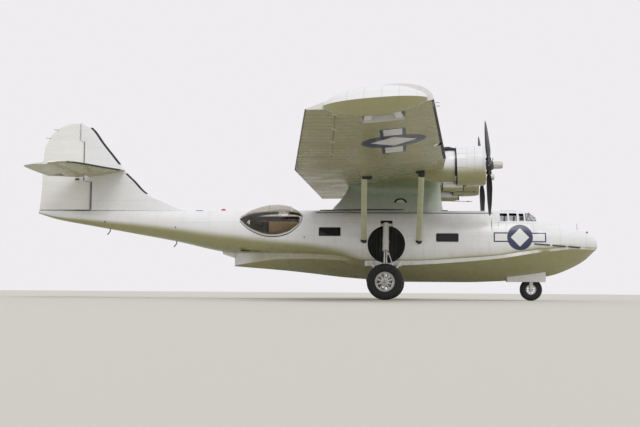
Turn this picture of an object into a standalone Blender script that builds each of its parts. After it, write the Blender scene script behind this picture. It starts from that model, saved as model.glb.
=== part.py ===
"""A twin-engined amphibious flying boat, standing on its wheels with its wing-tip floats retracted.

Units are metres. +X is forward, +Y to port, +Z up, and the floor is Z = 0. Sizes below are given the
way an aircraft drawing gives them: s is the station aft of the nose, y the distance to port and z the
height above the keel at the main step. at() turns them into the model's coordinates.
"""

import math

import bmesh
import bpy
from mathutils import Matrix, Vector

# Driving dimensions
LENGTH = 19.46
KEEL_HEIGHT = 0.62
NOSE_X = LENGTH / 2
GAP = 0.0003
GROW = 0.0006
SIDES = (("l", 1), ("r", -1))

# Wing: a constant centre panel, then a tapered panel with dihedral out to the tip rib
WING_LE_S = 5.31
WING_LE_Z = 3.67
CHORD = 4.57
TIP_CHORD = 3.08
TIP_LE_S = 5.80
KINK_Y = 6.34
TIP_Y = 15.05
DIHEDRAL = 0.0621
INCIDENCE = 0.0808
BOX_END = 0.60
AILERON_Y = (8.60, 14.88)
AILERON_HINGE = 0.775
AILERON_GAP = 0.010
AILERON_END_GAP = 0.028
STORE_PAD = (0.36, 0.24, 0.06)
STORE_PAD_Y = 4.60

# Roof hatch: its hinge line, and the outline of the hole
HATCH_HINGE = (3.256, 0.0, 2.475)
HATCH_S = (2.75, 3.25)
HATCH_HALF = 0.28
HATCH_GAP = 0.010

# Tail surfaces
RUDDER_HINGE_S = 18.04
ELEVATOR_HINGE_S = 17.99
TAIL_SLOPE = 0.10
TAIL_MID = (17.67, 3.72)
TAIL_GAP = 0.012

# Engines
ENGINE_Y = 2.353
THRUST_S = 3.81
THRUST_Z = 3.815
THRUST_TILT = math.radians(2.5)
COWL_RADIUS = 0.66

# Landing gear
MAIN_WHEEL = (7.20, 2.55)
MAIN_TYRE_RADIUS = 0.597
NOSE_WHEEL_S = 2.25
NOSE_TYRE_RADIUS = 0.381
WELL_CENTRE = (7.18, 1.24)
WELL_RADIUS = 0.63

# Wing-tip floats
FLOAT_S = (5.95, 8.43)
FLOAT_Y = (15.06, 15.85)
FLOAT_Z = 4.14
FLOAT_HINGE_Y = 13.35
FLOAT_HINGE_S = 7.0

# Hull shell
WALL = 0.035
COCKPIT_FLOOR = 1.22
WAIST_FLOOR = 0.98
BOW_S = (0.0, 1.55)
COCKPIT_S = (1.55, 3.75)
CENTRE_S = (3.75, 7.90)
WAIST_S = (7.90, 12.48)

# Hull sections: station, keel, chine height and half-beam, neck height and half-width,
# widest height and half-width, deck height
HULL = (
    (0.00, 1.220, 1.270, 0.04, 1.30, 0.05, 1.34, 0.06, 1.40),
    (0.10, 1.080, 1.130, 0.26, 1.20, 0.27, 1.33, 0.28, 1.53),
    (0.40, 0.790, 1.130, 0.55, 1.20, 0.56, 1.32, 0.57, 1.73),
    (0.96, 0.470, 1.125, 0.87, 1.20, 0.88, 1.32, 0.90, 1.92),
    (1.55, 0.250, 1.060, 1.07, 1.15, 1.08, 1.30, 1.12, 2.07),
    (2.10, 0.155, 0.995, 1.21, 1.10, 1.22, 1.28, 1.27, 2.18),
    (2.42, 0.125, 0.945, 1.26, 1.05, 1.27, 1.27, 1.32, 2.46),
    (3.40, 0.040, 0.790, 1.41, 0.90, 1.42, 1.22, 1.46, 2.46),
    (4.60, 0.000, 0.670, 1.47, 0.80, 1.48, 1.15, 1.53, 2.45),
    (6.20, 0.000, 0.560, 1.50, 0.70, 1.51, 1.10, 1.55, 2.45),
    (7.90, 0.000, 0.510, 1.50, 0.65, 1.51, 1.10, 1.55, 2.45),
)
AFTERBODY = (
    (7.90, 0.080, 0.590, 1.43, 0.72, 1.46, 1.15, 1.54, 2.45),
    (8.80, 0.155, 0.700, 1.30, 0.86, 1.36, 1.22, 1.52, 2.45),
    (9.80, 0.270, 0.750, 1.06, 0.93, 1.12, 1.32, 1.45, 2.45),
    (10.80, 0.370, 0.745, 0.74, 0.95, 0.80, 1.42, 1.32, 2.45),
    (11.70, 0.440, 0.650, 0.38, 0.95, 0.45, 1.52, 1.17, 2.44),
    (12.48, 0.500, 0.530, 0.05, 0.97, 0.08, 1.60, 1.03, 2.43),
)
# Tail cone: station, bottom, widest height and half-width, top
TAIL_CONE = (
    (12.48, 0.97, 1.600, 1.030, 2.43),
    (14.60, 1.37, 1.850, 0.720, 2.43),
    (16.00, 1.62, 2.000, 0.500, 2.43),
    (17.60, 1.90, 2.128, 0.268, 2.43),
    (18.80, 2.12, 2.220, 0.120, 2.44),
    (19.46, 2.32, 2.360, 0.030, 2.44),
)
# Fin leading edge: height, station
FIN_EDGE = (
    (2.45, 14.05), (2.58, 14.57), (2.77, 15.02), (3.01, 15.56), (3.47, 16.03), (3.49, 16.05),
    (3.77, 16.34), (4.07, 16.56), (4.83, 17.17), (4.88, 17.21), (4.90, 17.23), (5.30, 17.52),
    (5.45, 17.72), (5.54, 17.96),
)
# Rudder: height, balance front, trailing edge
RUDDER = (
    (2.46, 17.60, 19.44), (3.45, 17.60, 19.36), (3.47, 17.86, 19.36), (4.56, 17.86, 19.29),
    (4.86, 17.86, 19.18), (4.88, 18.02, 19.16), (5.01, 18.02, 19.11), (5.24, 18.02, 18.89),
    (5.40, 18.02, 18.64), (5.50, 18.02, 18.36),
)
# Tailplane: distance from the middle, leading edge, trailing edge
TAILPLANE = (
    (0.15, 16.40, 18.96), (1.50, 16.69, 18.93), (4.10, 17.22, 18.82), (4.40, 17.34, 18.76),
    (4.56, 17.50, 18.62), (4.64, 17.68, 18.42),
)
# Pylon: height, front, rear, half-width
PYLON = (
    (2.22, 5.22, 9.18, 0.76), (2.50, 5.26, 9.08, 0.66), (2.75, 5.30, 8.86, 0.56),
    (3.05, 5.33, 8.64, 0.50), (3.22, 5.34, 8.56, 0.52), (3.40, 5.35, 8.52, 0.66), (3.58, 5.36, 8.52, 0.80),
    (3.70, 5.40, 8.30, 0.84),
)
# Lift struts: foot station and height on the hull side, top station under the wing
STRUTS = {"front": (6.08, 1.28, 6.00), "rear": (7.92, 1.30, 7.84)}
STRUT_TOP_Y = 3.50
# Nacelle behind the cowling: station, height of its axis, half-width, half-height
NACELLE = (
    (4.93, 3.80, 0.54, 0.54), (5.10, 3.79, 0.56, 0.55), (5.35, 3.78, 0.54, 0.52),
    (5.80, 3.78, 0.46, 0.48), (6.30, 3.80, 0.34, 0.40), (6.80, 3.84, 0.16, 0.26),
)
# Blister: station, distance of its axis from the middle, height of the axis, radius
BLISTER = (
    (10.02, 0.98, 2.03, 0.06), (10.10, 0.98, 2.03, 0.24), (10.28, 0.98, 2.03, 0.41),
    (10.55, 0.98, 2.03, 0.53), (10.90, 0.98, 2.03, 0.57), (11.25, 0.97, 2.03, 0.54),
    (11.60, 0.95, 2.04, 0.44), (11.90, 0.93, 2.06, 0.30), (12.12, 0.92, 2.08, 0.12),
    (12.20, 0.92, 2.09, 0.03),
)
# Propeller blade: radius, chord, thickness, pitch in degrees
BLADE = (
    (0.13, 0.12, 0.110, 52), (0.30, 0.13, 0.100, 50), (0.50, 0.22, 0.065, 46), (0.85, 0.29, 0.045, 38),
    (1.20, 0.29, 0.032, 31), (1.55, 0.24, 0.020, 26), (1.76, 0.16, 0.012, 23), (1.84, 0.05, 0.006, 22),
)

for old in list(bpy.data.objects):
    bpy.data.objects.remove(old, do_unlink=True)
PARTS = bpy.data.collections.new("flying_boat")
CUTTERS = bpy.data.collections.new("cutters")
bpy.context.scene.collection.children.link(PARTS)
bpy.context.scene.collection.children.link(CUTTERS)


def material(name, colour, roughness, metallic=0.0):
    """A plain finish: colour, roughness and whether it is bare metal."""
    finish = bpy.data.materials.new(name)
    finish.use_nodes = True
    shader = finish.node_tree.nodes["Principled BSDF"]
    shader.inputs["Base Color"].default_value = (*colour, 1.0)
    shader.inputs["Roughness"].default_value = roughness
    shader.inputs["Metallic"].default_value = metallic
    return finish


PAINT = material("white_paint", (0.80, 0.80, 0.77), 0.35)
FABRIC = material("doped_fabric", (0.76, 0.76, 0.72), 0.55)
GLASS = material("clear_plastic", (0.25, 0.28, 0.28), 0.08)
STEEL = material("steel", (0.45, 0.45, 0.46), 0.35, 1.0)
BLADE_BLACK = material("blade_black", (0.03, 0.03, 0.03), 0.45)
ENGINE_GREY = material("engine_grey", (0.16, 0.16, 0.17), 0.5, 0.8)
RUBBER = material("rubber", (0.03, 0.03, 0.03), 0.8)
LEATHER = material("seat_leather", (0.22, 0.14, 0.09), 0.6)
PANEL = material("panel_black", (0.05, 0.05, 0.05), 0.6)


def at(s, y, z):
    """Station, distance to port and height above the keel as a point of the model."""
    return Vector((NOSE_X - s, y, z + KEEL_HEIGHT))


def between(table, key):
    """The row of a table at a key in its first column, read along straight lines between its rows."""
    for low, high in zip(table, table[1:]):
        if low[0] <= key <= high[0]:
            part = (key - low[0]) / (high[0] - low[0])
            return [a + (b - a) * part for a, b in zip(low, high)]
    return list(table[0] if key < table[0][0] else table[-1])


# Objects from meshes
def add(name, mesh, finish, smooth=35):
    """A mesh as a part, or as a cutter when it has no finish."""
    bmesh.ops.recalc_face_normals(mesh, faces=mesh.faces)
    data = bpy.data.meshes.new(name)
    mesh.to_mesh(data)
    mesh.free()
    data.shade_smooth()
    data.set_sharp_from_angle(angle=math.radians(smooth))
    piece = bpy.data.objects.new(name, data)
    if finish is None:
        piece.hide_render = True
        piece.display_type = "WIRE"
        CUTTERS.objects.link(piece)
    else:
        data.materials.append(finish)
        PARTS.objects.link(piece)
    return piece


def skin(mesh, rows):
    """Faces between rows of points, each row a closed ring."""
    count = len(rows[0])
    for row, following in zip(rows, rows[1:]):
        for i in range(count):
            j = (i + 1) % count
            mesh.faces.new((row[i], row[j], following[j], following[i]))


def loft(name, rings, finish, hollow=None, smooth=35):
    """A solid through rings of equal count, or with hollow rings a shell open at both ends."""
    mesh = bmesh.new()
    outer = [[mesh.verts.new(p) for p in ring] for ring in rings]
    skin(mesh, outer)
    if hollow:
        inner = [[mesh.verts.new(p) for p in ring] for ring in hollow]
        skin(mesh, inner)
        skin(mesh, [outer[0], inner[0]])
        skin(mesh, [outer[-1], inner[-1]])
    else:
        mesh.faces.new(outer[0])
        mesh.faces.new(outer[-1])
    bmesh.ops.triangulate(mesh, faces=[face for face in mesh.faces if len(face.verts) == 4])
    return add(name, mesh, finish, smooth)


def block(name, low, high, finish=None):
    """A box between two corners."""
    mesh = bmesh.new()
    low, high = Vector(low), Vector(high)
    size = Matrix.Diagonal([abs(b - a) for a, b in zip(low, high)]).to_4x4()
    bmesh.ops.create_cube(mesh, size=1.0, matrix=Matrix.Translation((low + high) / 2) @ size)
    return add(name, mesh, finish)


def rod(name, start, end, radius, finish=None, sides=14, end_radius=None):
    """A round bar from one point to another."""
    mesh = bmesh.new()
    way = end - start
    turn = way.to_track_quat("Z", "Y").to_matrix().to_4x4()
    bmesh.ops.create_cone(
        mesh, cap_ends=True, segments=sides, radius1=radius, radius2=end_radius or radius,
        depth=way.length, matrix=Matrix.Translation((start + end) / 2) @ turn,
    )
    return add(name, mesh, finish)


def turned(name, profile, centre, axis, finish, steps=32, closed=False, smooth=35):
    """A turned shape: the profile holds radii and heights, top to bottom on its outer side."""
    data = bpy.data.meshes.new(name)
    edges = [(i, i + 1) for i in range(len(profile) - 1)]
    if closed:
        edges.append((len(profile) - 1, 0))
    data.from_pydata([(radius, 0.0, height) for radius, height in profile], edges, [])
    piece = bpy.data.objects.new(name, data)
    piece.rotation_mode = "QUATERNION"
    piece.rotation_quaternion = Vector(axis).to_track_quat("Z", "Y")
    piece.location = centre
    screw = piece.modifiers.new("turn", "SCREW")
    screw.steps = screw.render_steps = steps
    screw.use_merge_vertices = True
    screw.merge_threshold = 1e-5
    screw.use_smooth_shade = True
    if finish is None:
        piece.hide_render = True
        piece.display_type = "WIRE"
        CUTTERS.objects.link(piece)
    else:
        data.materials.append(finish)
        PARTS.objects.link(piece)
    return piece


def combine(piece, others, operation):
    """Cuts pieces from this one, joins them to it, or keeps what it shares with them."""
    for other in others:
        change = piece.modifiers.new(other.name, "BOOLEAN")
        change.operation = operation
        change.solver = "EXACT"
        change.object = other


def hinged(piece, point):
    """Puts a piece's origin on its hinge line, leaving the piece where it is."""
    piece.data.transform(Matrix.Translation(-point))
    piece.location = point


# Hull sections
def hull_ring(s, table, grow=0.0):
    """One hull section: V bottom, chine, spray neck, round side and crowned deck."""
    _, keel, chine_z, chine_y, neck_z, neck_y, wide_z, wide_y, deck = between(table, s)
    half = [
        (0.0, keel - grow),
        (chine_y * 0.5, keel + (chine_z - keel) * 0.42 - grow),
        (chine_y + grow, chine_z - grow),
        (neck_y + grow, neck_z),
    ]
    half += side_arc(neck_y + grow, neck_z, wide_y + grow, wide_z)
    half += deck_arc(wide_y + grow, wide_z, deck + grow)
    return mirrored(s, half)


def side_arc(low_y, low_z, wide_y, wide_z):
    """Points of a quarter ellipse from the neck up to the widest height, without the neck itself."""
    turns = (30, 60, 90)
    return [
        (
            low_y + (wide_y - low_y) * math.sin(math.radians(turn)),
            wide_z - (wide_z - low_z) * math.cos(math.radians(turn)),
        )
        for turn in turns
    ]


def deck_arc(wide_y, wide_z, deck, power=2.4):
    """Points of the crowned upper side, from the widest height to the middle of the deck."""
    points = []
    for turn in (18, 36, 52, 66, 79, 90):
        across = abs(math.cos(math.radians(turn))) ** (2 / power)
        upward = math.sin(math.radians(turn)) ** (2 / power)
        points.append((0.0 if turn == 90 else wide_y * across, wide_z + (deck - wide_z) * upward))
    return points


def mirrored(s, half):
    """A half section, from bottom middle to top middle, as a whole ring."""
    port = [at(s, y, z) for y, z in half]
    starboard = [at(s, -y, z) for y, z in half[-2:0:-1]]
    return port + starboard


def hull_room(s, table, floor, wall):
    """The hollow inside a hull section: flat floor, sides that follow the hull's, crowned roof."""
    _, _, _, _, neck_z, neck_y, wide_z, wide_y, deck = between(table, s)
    broad, tall = wide_y - neck_y - wall, wide_z - neck_z - wall
    top = max(wide_z, floor + 0.1)
    side = []
    for turn in (0, 30, 60, 90):
        z = top - (top - floor) * math.cos(math.radians(turn))
        drop = min(1.0, max(0.0, (wide_z - z) / tall))
        side.append((neck_y + broad * math.sqrt(1 - drop**2), z))
    floor_y = side[0][0]
    half = [(0.0, floor), (floor_y * 0.35, floor), (floor_y * 0.75, floor), *side]
    half += deck_arc(wide_y - wall, top, deck - wall)
    return mirrored(s, half)


def stations(table, start, end):
    """The stations of a table between two ends, each end pulled in by half the seam."""
    inside = [row[0] for row in table if start + 0.02 < row[0] < end - 0.02]
    return [start + GAP / 2, *inside, end - GAP / 2]


def tail_ring(s, inset=0.0):
    """One section of the tail cone: an oval with a crowned top."""
    _, bottom, wide_z, wide_y, top = between(TAIL_CONE, s)
    bottom, top, wide_y = bottom + inset, top - inset, wide_y - inset
    half = [
        (wide_y * math.sin(math.radians(turn)), wide_z - (wide_z - bottom) * math.cos(math.radians(turn)))
        for turn in (0, 22, 44, 66)
    ]
    half.append((wide_y, wide_z))
    return mirrored(s, half + deck_arc(wide_y, wide_z, top))


def hull_envelope(name):
    """The outside of hull and afterbody a hair oversize, to fit what stands on the hull."""
    rows = stations(HULL, *CENTRE_S) + stations(AFTERBODY, *WAIST_S)
    rings = [hull_ring(s, HULL if s < CENTRE_S[1] else AFTERBODY, GROW) for s in rows]
    return loft(name, rings, None)


# Wing sections
def thickness(x):
    """Half thickness of a section of unit thickness at a fraction of its chord."""
    return 5 * (0.2969 * math.sqrt(x) - 0.126 * x - 0.3516 * x**2 + 0.2843 * x**3 - 0.1015 * x**4)


def upper(x):
    """Height of the wing's upper surface above its chord, as a fraction of the chord."""
    return 0.29 * thickness(x)


def lower(x):
    """Height of the wing's nearly flat lower surface."""
    return -(0.024 * math.sqrt(x) * (1 - x) + 0.018 * math.sin(math.pi * x)) - 0.0005 * x


def wing_point(y, x, height):
    """A point of the wing at a span position, a share of the chord aft and another above it."""
    out = max(0.0, abs(y) - KINK_Y) / (TIP_Y - KINK_Y)
    chord = CHORD + (TIP_CHORD - CHORD) * out
    edge = WING_LE_S + (TIP_LE_S - WING_LE_S) * out
    rise = WING_LE_Z + DIHEDRAL * max(0.0, abs(y) - KINK_Y)
    along = x * math.cos(INCIDENCE) + height * math.sin(INCIDENCE)
    up = height * math.cos(INCIDENCE) - x * math.sin(INCIDENCE)
    return at(edge + chord * along, y, rise + chord * up)


def wing_ring(y, fractions):
    """One wing section over a range of chord fractions."""
    top = [wing_point(y, x, upper(x)) for x in reversed(fractions)]
    bottom = [wing_point(y, x, lower(x)) for x in fractions]
    return top[:-1] + bottom if fractions[0] == 0 else top + bottom


FRONT = (0.0, 0.004, 0.016, 0.04, 0.08, 0.14, 0.22, 0.32, 0.45, BOX_END - 0.0001)
REAR = (BOX_END, 0.68, 0.76, 0.85, 0.94, 1.0)


def swollen(ring, grow):
    """A ring that lies along the flow, moved outwards by the same distance all round."""
    points = []
    for i, point in enumerate(ring):
        before, after = point - ring[i - 1], ring[(i + 1) % len(ring)] - point
        first = Vector((-before.z, 0, before.x)).normalized()
        second = Vector((-after.z, 0, after.x)).normalized()
        points.append(point + grow * (first + second) / (1 + first.dot(second)))
    return points


def wing_envelope(name):
    """The outside of the wing's centre a hair oversize, to fit what hangs from it."""
    fractions = FRONT[:-1] + REAR
    rings = [swollen(wing_ring(y, fractions), GROW) for y in (-KINK_Y, KINK_Y)]
    return loft(name, rings, None)


def control_ring(hinge, tail, overhang, half, point):
    """A control surface's section: rounded balance ahead of the hinge, straight taper behind it."""
    ring = []
    for turn in (90, 60, 30, 0, -30, -60, -90):
        angle = math.radians(turn)
        ring.append(point(hinge - overhang * math.cos(angle), half * math.sin(angle)))
    ring.append(point(tail, -0.004))
    ring.append(point(tail, 0.004))
    return ring


def fixed_ring(edge, rear, hinge, half, point):
    """A fixed tail surface's section: rounded leading edge, fuller towards the hinge, cut off square."""
    shares = (0.0, 0.02, 0.08, 0.2, 0.4, 0.7, 1.0)
    side = []
    for share in shares:
        s = edge + (rear - edge) * share
        fullness = math.sin(math.pi / 2 * ((s - edge) / (hinge - edge)) ** 0.6)
        side.append((s, half * fullness))
    return [point(s, h) for s, h in reversed(side)] + [point(s, -h) for s, h in side[1:]]


# Hull
def make_hull():
    bow = [hull_ring(s, HULL) for s in stations(HULL, *BOW_S)]
    loft("hull_bow", bow, PAINT)

    rows = [COCKPIT_S[0] + GAP / 2, 2.10, 2.42, 2.90, 3.40, COCKPIT_S[1] - GAP / 2]
    outer = [hull_ring(s, HULL) for s in rows]
    room = [hull_room(s, HULL, COCKPIT_FLOOR, WALL) for s in rows]
    cockpit = loft("hull_cockpit", outer, PAINT, room)
    combine(cockpit, window_cutters() + [hatch_hole(HATCH_GAP), nose_well()], "DIFFERENCE")

    hatch = loft("roof_hatch", outer, PAINT, room)
    hinged(hatch, at(*HATCH_HINGE))
    combine(hatch, [hatch_hole(0.0)], "INTERSECT")

    glass_outer = [hull_ring_inside(s, WALL + 0.001) for s in (2.16, 2.46, 2.90, 3.42)]
    glass_inner = [hull_ring_inside(s, WALL + 0.008) for s in (2.16, 2.46, 2.90, 3.42)]
    glass = loft("canopy_glass", glass_outer, GLASS, glass_inner)
    below = block("cut_glass_below", at(4.0, -2, -1), at(1.0, 2, 1.98))
    above = block("cut_glass_roof", at(4.0, -0.42, 2.0), at(2.58, 0.42, 3.0))
    combine(glass, [below, above], "DIFFERENCE")

    centre = [hull_ring(s, HULL) for s in stations(HULL, *CENTRE_S)]
    middle = loft("hull_centre", centre, PAINT)
    combine(middle, main_wells(), "DIFFERENCE")

    rows = stations(AFTERBODY, *WAIST_S)
    outer = [hull_ring(s, AFTERBODY) for s in rows]
    room = [hull_room(s, AFTERBODY, WAIST_FLOOR, WALL) for s in rows]
    waist = loft("hull_waist", outer, PAINT, room)
    holes = [blister_solid(f"cut_blister_{side}", way, -0.05, None) for side, way in SIDES]
    combine(waist, holes, "DIFFERENCE")

    rows = [WAIST_S[1] + GAP / 2, *[row[0] for row in TAIL_CONE[1:]]]
    tail_cone(rows)


def hull_ring_inside(s, inset):
    """A full hull section drawn in by the wall, for the glass."""
    return hull_ring(s, HULL, -inset)


def tail_cone(rows):
    """The tail cone as a shell open in front and closed behind."""
    mesh = bmesh.new()
    outer = [[mesh.verts.new(p) for p in tail_ring(s)] for s in rows]
    inner = [[mesh.verts.new(p) for p in tail_ring(s, WALL)] for s in rows[:-2]]
    skin(mesh, outer)
    skin(mesh, inner)
    skin(mesh, [outer[0], inner[0]])
    mesh.faces.new(outer[-1])
    mesh.faces.new(inner[-1])
    add("hull_tail", mesh, PAINT)


def window_cutters():
    """Cutters for two windscreen panes and three side panes on each side."""
    cutters = []
    panes = ((2.56, 2.735, 2.062, 2.335), (2.79, 3.06, 2.05, 2.345), (3.11, 3.37, 2.04, 2.34))
    for number, (front, rear, sill, head) in enumerate(panes):
        cutters.append(block(f"cut_side_pane_{number}", at(rear, -2, sill), at(front, 2, head)))
    slope = math.atan2(2.46 - 2.18, 2.42 - 2.10)
    for side, way in SIDES:
        pane = block(f"cut_windscreen_{side}", (-0.155, -0.30, -0.25), (0.155, 0.30, 0.25))
        centre = Matrix.Translation(at(2.255, way * 0.36, 2.305))
        pane.matrix_world = centre @ Matrix.Rotation(slope, 4, "Y")
        cutters.append(pane)
    return cutters


def hatch_hole(margin):
    """The roof hatch's outline as a tall block, with a margin for the hole."""
    front, rear = HATCH_S
    half = HATCH_HALF + margin
    return block(f"cut_hatch_{margin}", at(rear + margin, -half, 2.30), at(front - margin, half, 2.80))


def nose_well():
    """The nose wheel's well in the hull bottom."""
    return block("cut_nose_well", at(3.10, -0.30, -0.50), at(1.75, 0.30, 1.05))


def main_wells():
    """The round wells for the main wheels and the slots for their legs."""
    cutters = []
    s, z = WELL_CENTRE
    for side, way in SIDES:
        well = rod(f"cut_well_{side}", at(s, way * 1.05, z), at(s, way * 2.2, z), WELL_RADIUS, sides=36)
        slot = block(f"cut_slot_{side}", at(s + 0.20, way * 1.02, z), at(s - 0.20, way * 2.2, 2.05))
        cutters += [well, slot]
    return cutters


def blister_solid(name, way, grow, finish):
    """The blister's full teardrop, of which only what stands outside the hull is kept."""
    rings = []
    for s, y, z, radius in BLISTER:
        reach = max(radius + grow, 0.012)
        turns = [math.radians(360 / 16 * i) for i in range(16)]
        rings.append([at(s, way * (y + reach * math.cos(t)), z + reach * math.sin(t)) for t in turns])
    return loft(name, rings, finish)


def make_blisters(envelope):
    for side, way in SIDES:
        blister = blister_solid(f"blister_{side}", way, 0.0, GLASS)
        hollow = blister_solid(f"cut_blister_hollow_{side}", way, -0.014, None)
        combine(blister, [hollow, envelope], "DIFFERENCE")


def make_cockpit():
    floor = COCKPIT_FLOOR + GAP
    block("cockpit_floor", at(3.70, -0.95, floor), at(2.20, 0.95, floor + 0.03), PANEL)
    deck = floor + 0.03 + GAP
    for side, way in SIDES:
        near, far = way * (0.48 - 0.23), way * (0.48 + 0.23)
        seat = block(f"seat_{side}", at(3.35, near, deck + 0.32), at(2.88, far, deck + 0.44), LEATHER)
        back = block(f"cut_seat_back_{side}", at(3.42, near, deck + 0.36), at(3.30, far, deck + 0.98))
        near, far = way * (0.48 - 0.12), way * (0.48 + 0.12)
        post = block(f"cut_seat_post_{side}", at(3.25, near, deck), at(3.00, far, deck + 0.40))
        combine(seat, [back, post], "UNION")
    panel = block("instrument_panel", at(2.46, -0.85, deck + 0.35), at(2.40, 0.85, deck + 0.86), PANEL)
    leg = block("cut_panel_leg", at(2.45, -0.10, deck), at(2.41, 0.10, deck + 0.50))
    combine(panel, [leg], "UNION")


# Tail
def make_tail():
    def fin_point(z):
        return lambda s, h: at(s, h, z)

    fin = []
    for z, edge in FIN_EDGE:
        half = 0.115 - 0.065 * (z - 2.45) / 3.09
        rear = 17.60 if z < 3.48 else 17.86 if z < 4.87 + TAIL_GAP else 18.00
        level = z + TAIL_GAP if 3.4 < z < 3.6 or 4.8 < z < 4.95 else z
        level = 2.43 + GAP if z == FIN_EDGE[0][0] else level
        fin.append(fixed_ring(edge, rear - TAIL_GAP, RUDDER_HINGE_S, half, fin_point(level)))
    piece = loft("fin", fin, PAINT)
    slot = tailplane_envelope("cut_tailplane_slot")
    combine(piece, [slot], "DIFFERENCE")

    rudder = []
    for z, front, rear in RUDDER:
        half = 0.115 - 0.065 * (z - 2.45) / 3.09
        rudder.append(
            control_ring(RUDDER_HINGE_S, rear, RUDDER_HINGE_S - front, half, fin_point(z))
        )
    hinged(loft("rudder", rudder, FABRIC), at(RUDDER_HINGE_S, 0.0, 3.78))

    for side, way in SIDES:
        rings = []
        for y, edge, _ in TAILPLANE:
            rear = ELEVATOR_HINGE_S - 0.30 - TAIL_GAP
            near = GAP / 2 if y == TAILPLANE[0][0] else y
            edge = min(edge, rear - 0.05)
            rings.append(fixed_ring(edge, rear, ELEVATOR_HINGE_S, tail_half(y), tail_point(way * near)))
        loft(f"tailplane_{side}", rings, PAINT)
        rings = []
        for y, _, rear in TAILPLANE:
            near = 0.24 if y == TAILPLANE[0][0] else y
            overhang = 0.30 if y < 4.5 else 0.30 - (y - 4.5) * 1.5
            rings.append(
                control_ring(ELEVATOR_HINGE_S, rear, overhang, tail_half(y), tail_point(way * near))
            )
        elevator = loft(f"elevator_{side}", rings, FABRIC)
        hinged(elevator, tail_point(way * 2.0)(ELEVATOR_HINGE_S, 0.0))
        combine(elevator, [rudder_sweep(side, way)], "DIFFERENCE")


def tail_half(y):
    """Half thickness of the tailplane at its hinge line."""
    return 0.105 - 0.055 * y / 4.65


def tail_point(y):
    """Points of the tailplane's section at a span position, on its slightly raised chord plane."""
    return lambda s, h: at(s, y, TAIL_MID[1] - TAIL_SLOPE * (s - TAIL_MID[0]) + h)


def tailplane_envelope(name):
    """The tailplane's outside a hair oversize, to let it pass through the fin."""
    edge = TAILPLANE[0][1] - 0.002
    rings = []
    for y in (-0.5, 0.5):
        rings.append(fixed_ring(edge, 17.72, ELEVATOR_HINGE_S, tail_half(0.15) + 0.002, tail_point(y)))
    return loft(name, rings, None)


def rudder_sweep(side, way):
    """The wedge beside the rudder that the elevator leaves free."""
    outline = ((17.60, -0.05), (17.60, 0.22), (18.02, 0.24), (19.20, 0.86), (19.20, -0.05))
    rings = [[at(s, way * y, z) for s, y in outline] for z in (3.2, 4.2)]
    return loft(f"cut_rudder_sweep_{side}", rings, None)


# Wing
def make_wing(envelope_hull):
    half = KINK_Y - GAP / 2
    centre = loft("wing_centre", [wing_ring(y, FRONT) for y in (-half, half)], PAINT)
    combine(centre, [store_pad(side, way * STORE_PAD_Y) for side, way in SIDES], "UNION")
    loft("wing_centre_trailing", [wing_ring(y, REAR) for y in (-half, half)], FABRIC)
    for side, way in SIDES:
        ends = [way * (KINK_Y + GAP / 2), way * TIP_Y]
        box = loft(f"wing_outer_{side}", [wing_ring(y, FRONT) for y in ends], PAINT)
        combine(box, [float_pocket(side, way)], "DIFFERENCE")
        trailing = loft(f"wing_trailing_{side}", [wing_ring(y, REAR) for y in ends], FABRIC)
        combine(trailing, [aileron_space(side, way)], "DIFFERENCE")
        aileron(side, way)

    pylon = []
    for z, front, rear, half_width in PYLON:
        pylon.append(pylon_ring(z, front, rear, half_width))
    piece = loft("pylon", pylon, PAINT)
    envelope_wing = wing_envelope("cut_wing_outside")
    combine(piece, [envelope_hull, envelope_wing], "DIFFERENCE")
    for end, (foot_s, foot_z, top_s) in STRUTS.items():
        for side, way in SIDES:
            strut = lift_strut(f"strut_{end}_{side}", way, foot_s, foot_z, top_s)
            combine(strut, [envelope_hull, envelope_wing], "DIFFERENCE")
    make_nacelles(envelope_wing)


def store_pad(side, y):
    """A flat hard point under the wing, level with the lower skin between two points of its section."""
    front, rear = wing_point(y, 0.22, lower(0.22)), wing_point(y, 0.32, lower(0.32))
    run = (rear - front).normalized()
    turn = Matrix((run, Vector((0, 1, 0)), run.cross(Vector((0, 1, 0))))).transposed().to_4x4()
    pad = block(f"cut_store_pad_{side}", *[Vector(STORE_PAD) * half for half in (-0.5, 0.5)])
    pad.matrix_world = Matrix.Translation((front + rear) / 2) @ turn
    return pad


def aileron_sizes(y):
    """The aileron's chord at a span position, and its half thickness and height at the hinge."""
    out = (abs(y) - KINK_Y) / (TIP_Y - KINK_Y)
    chord = CHORD + (TIP_CHORD - CHORD) * out
    half = (upper(AILERON_HINGE) - lower(AILERON_HINGE)) / 2
    middle = (upper(AILERON_HINGE) + lower(AILERON_HINGE)) / 2
    return chord, half, middle


def aileron_ring(y, margin, rear):
    """The aileron's section; with a margin, the space that it turns in."""
    chord, half, middle = aileron_sizes(y)
    radius = half + margin / chord
    ring = []
    for turn in (90, 60, 30, 0, -30, -60, -90):
        angle = math.radians(turn)
        x, height = AILERON_HINGE - radius * math.cos(angle), middle + radius * math.sin(angle)
        ring.append(wing_point(y, x, height))
    if margin:
        return ring + [wing_point(y, rear, -0.12), wing_point(y, rear, 0.14)]
    ring += [wing_point(y, x, lower(x)) for x in (0.86, 0.94, 1.0)]
    ring += [wing_point(y, x, upper(x)) for x in (1.0, 0.94, 0.86)]
    return ring


def aileron(side, way):
    piece = loft(f"aileron_{side}", [aileron_ring(way * y, 0.0, 1.0) for y in AILERON_Y], FABRIC)
    _, _, middle = aileron_sizes(AILERON_Y[0])
    hinged(piece, wing_point(way * AILERON_Y[0], AILERON_HINGE, middle))


def aileron_space(side, way):
    ends = (AILERON_Y[0] - AILERON_END_GAP, AILERON_Y[1] + AILERON_END_GAP)
    rings = [aileron_ring(way * y, AILERON_GAP, 1.05) for y in ends]
    return loft(f"cut_aileron_{side}", rings, None)


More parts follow.
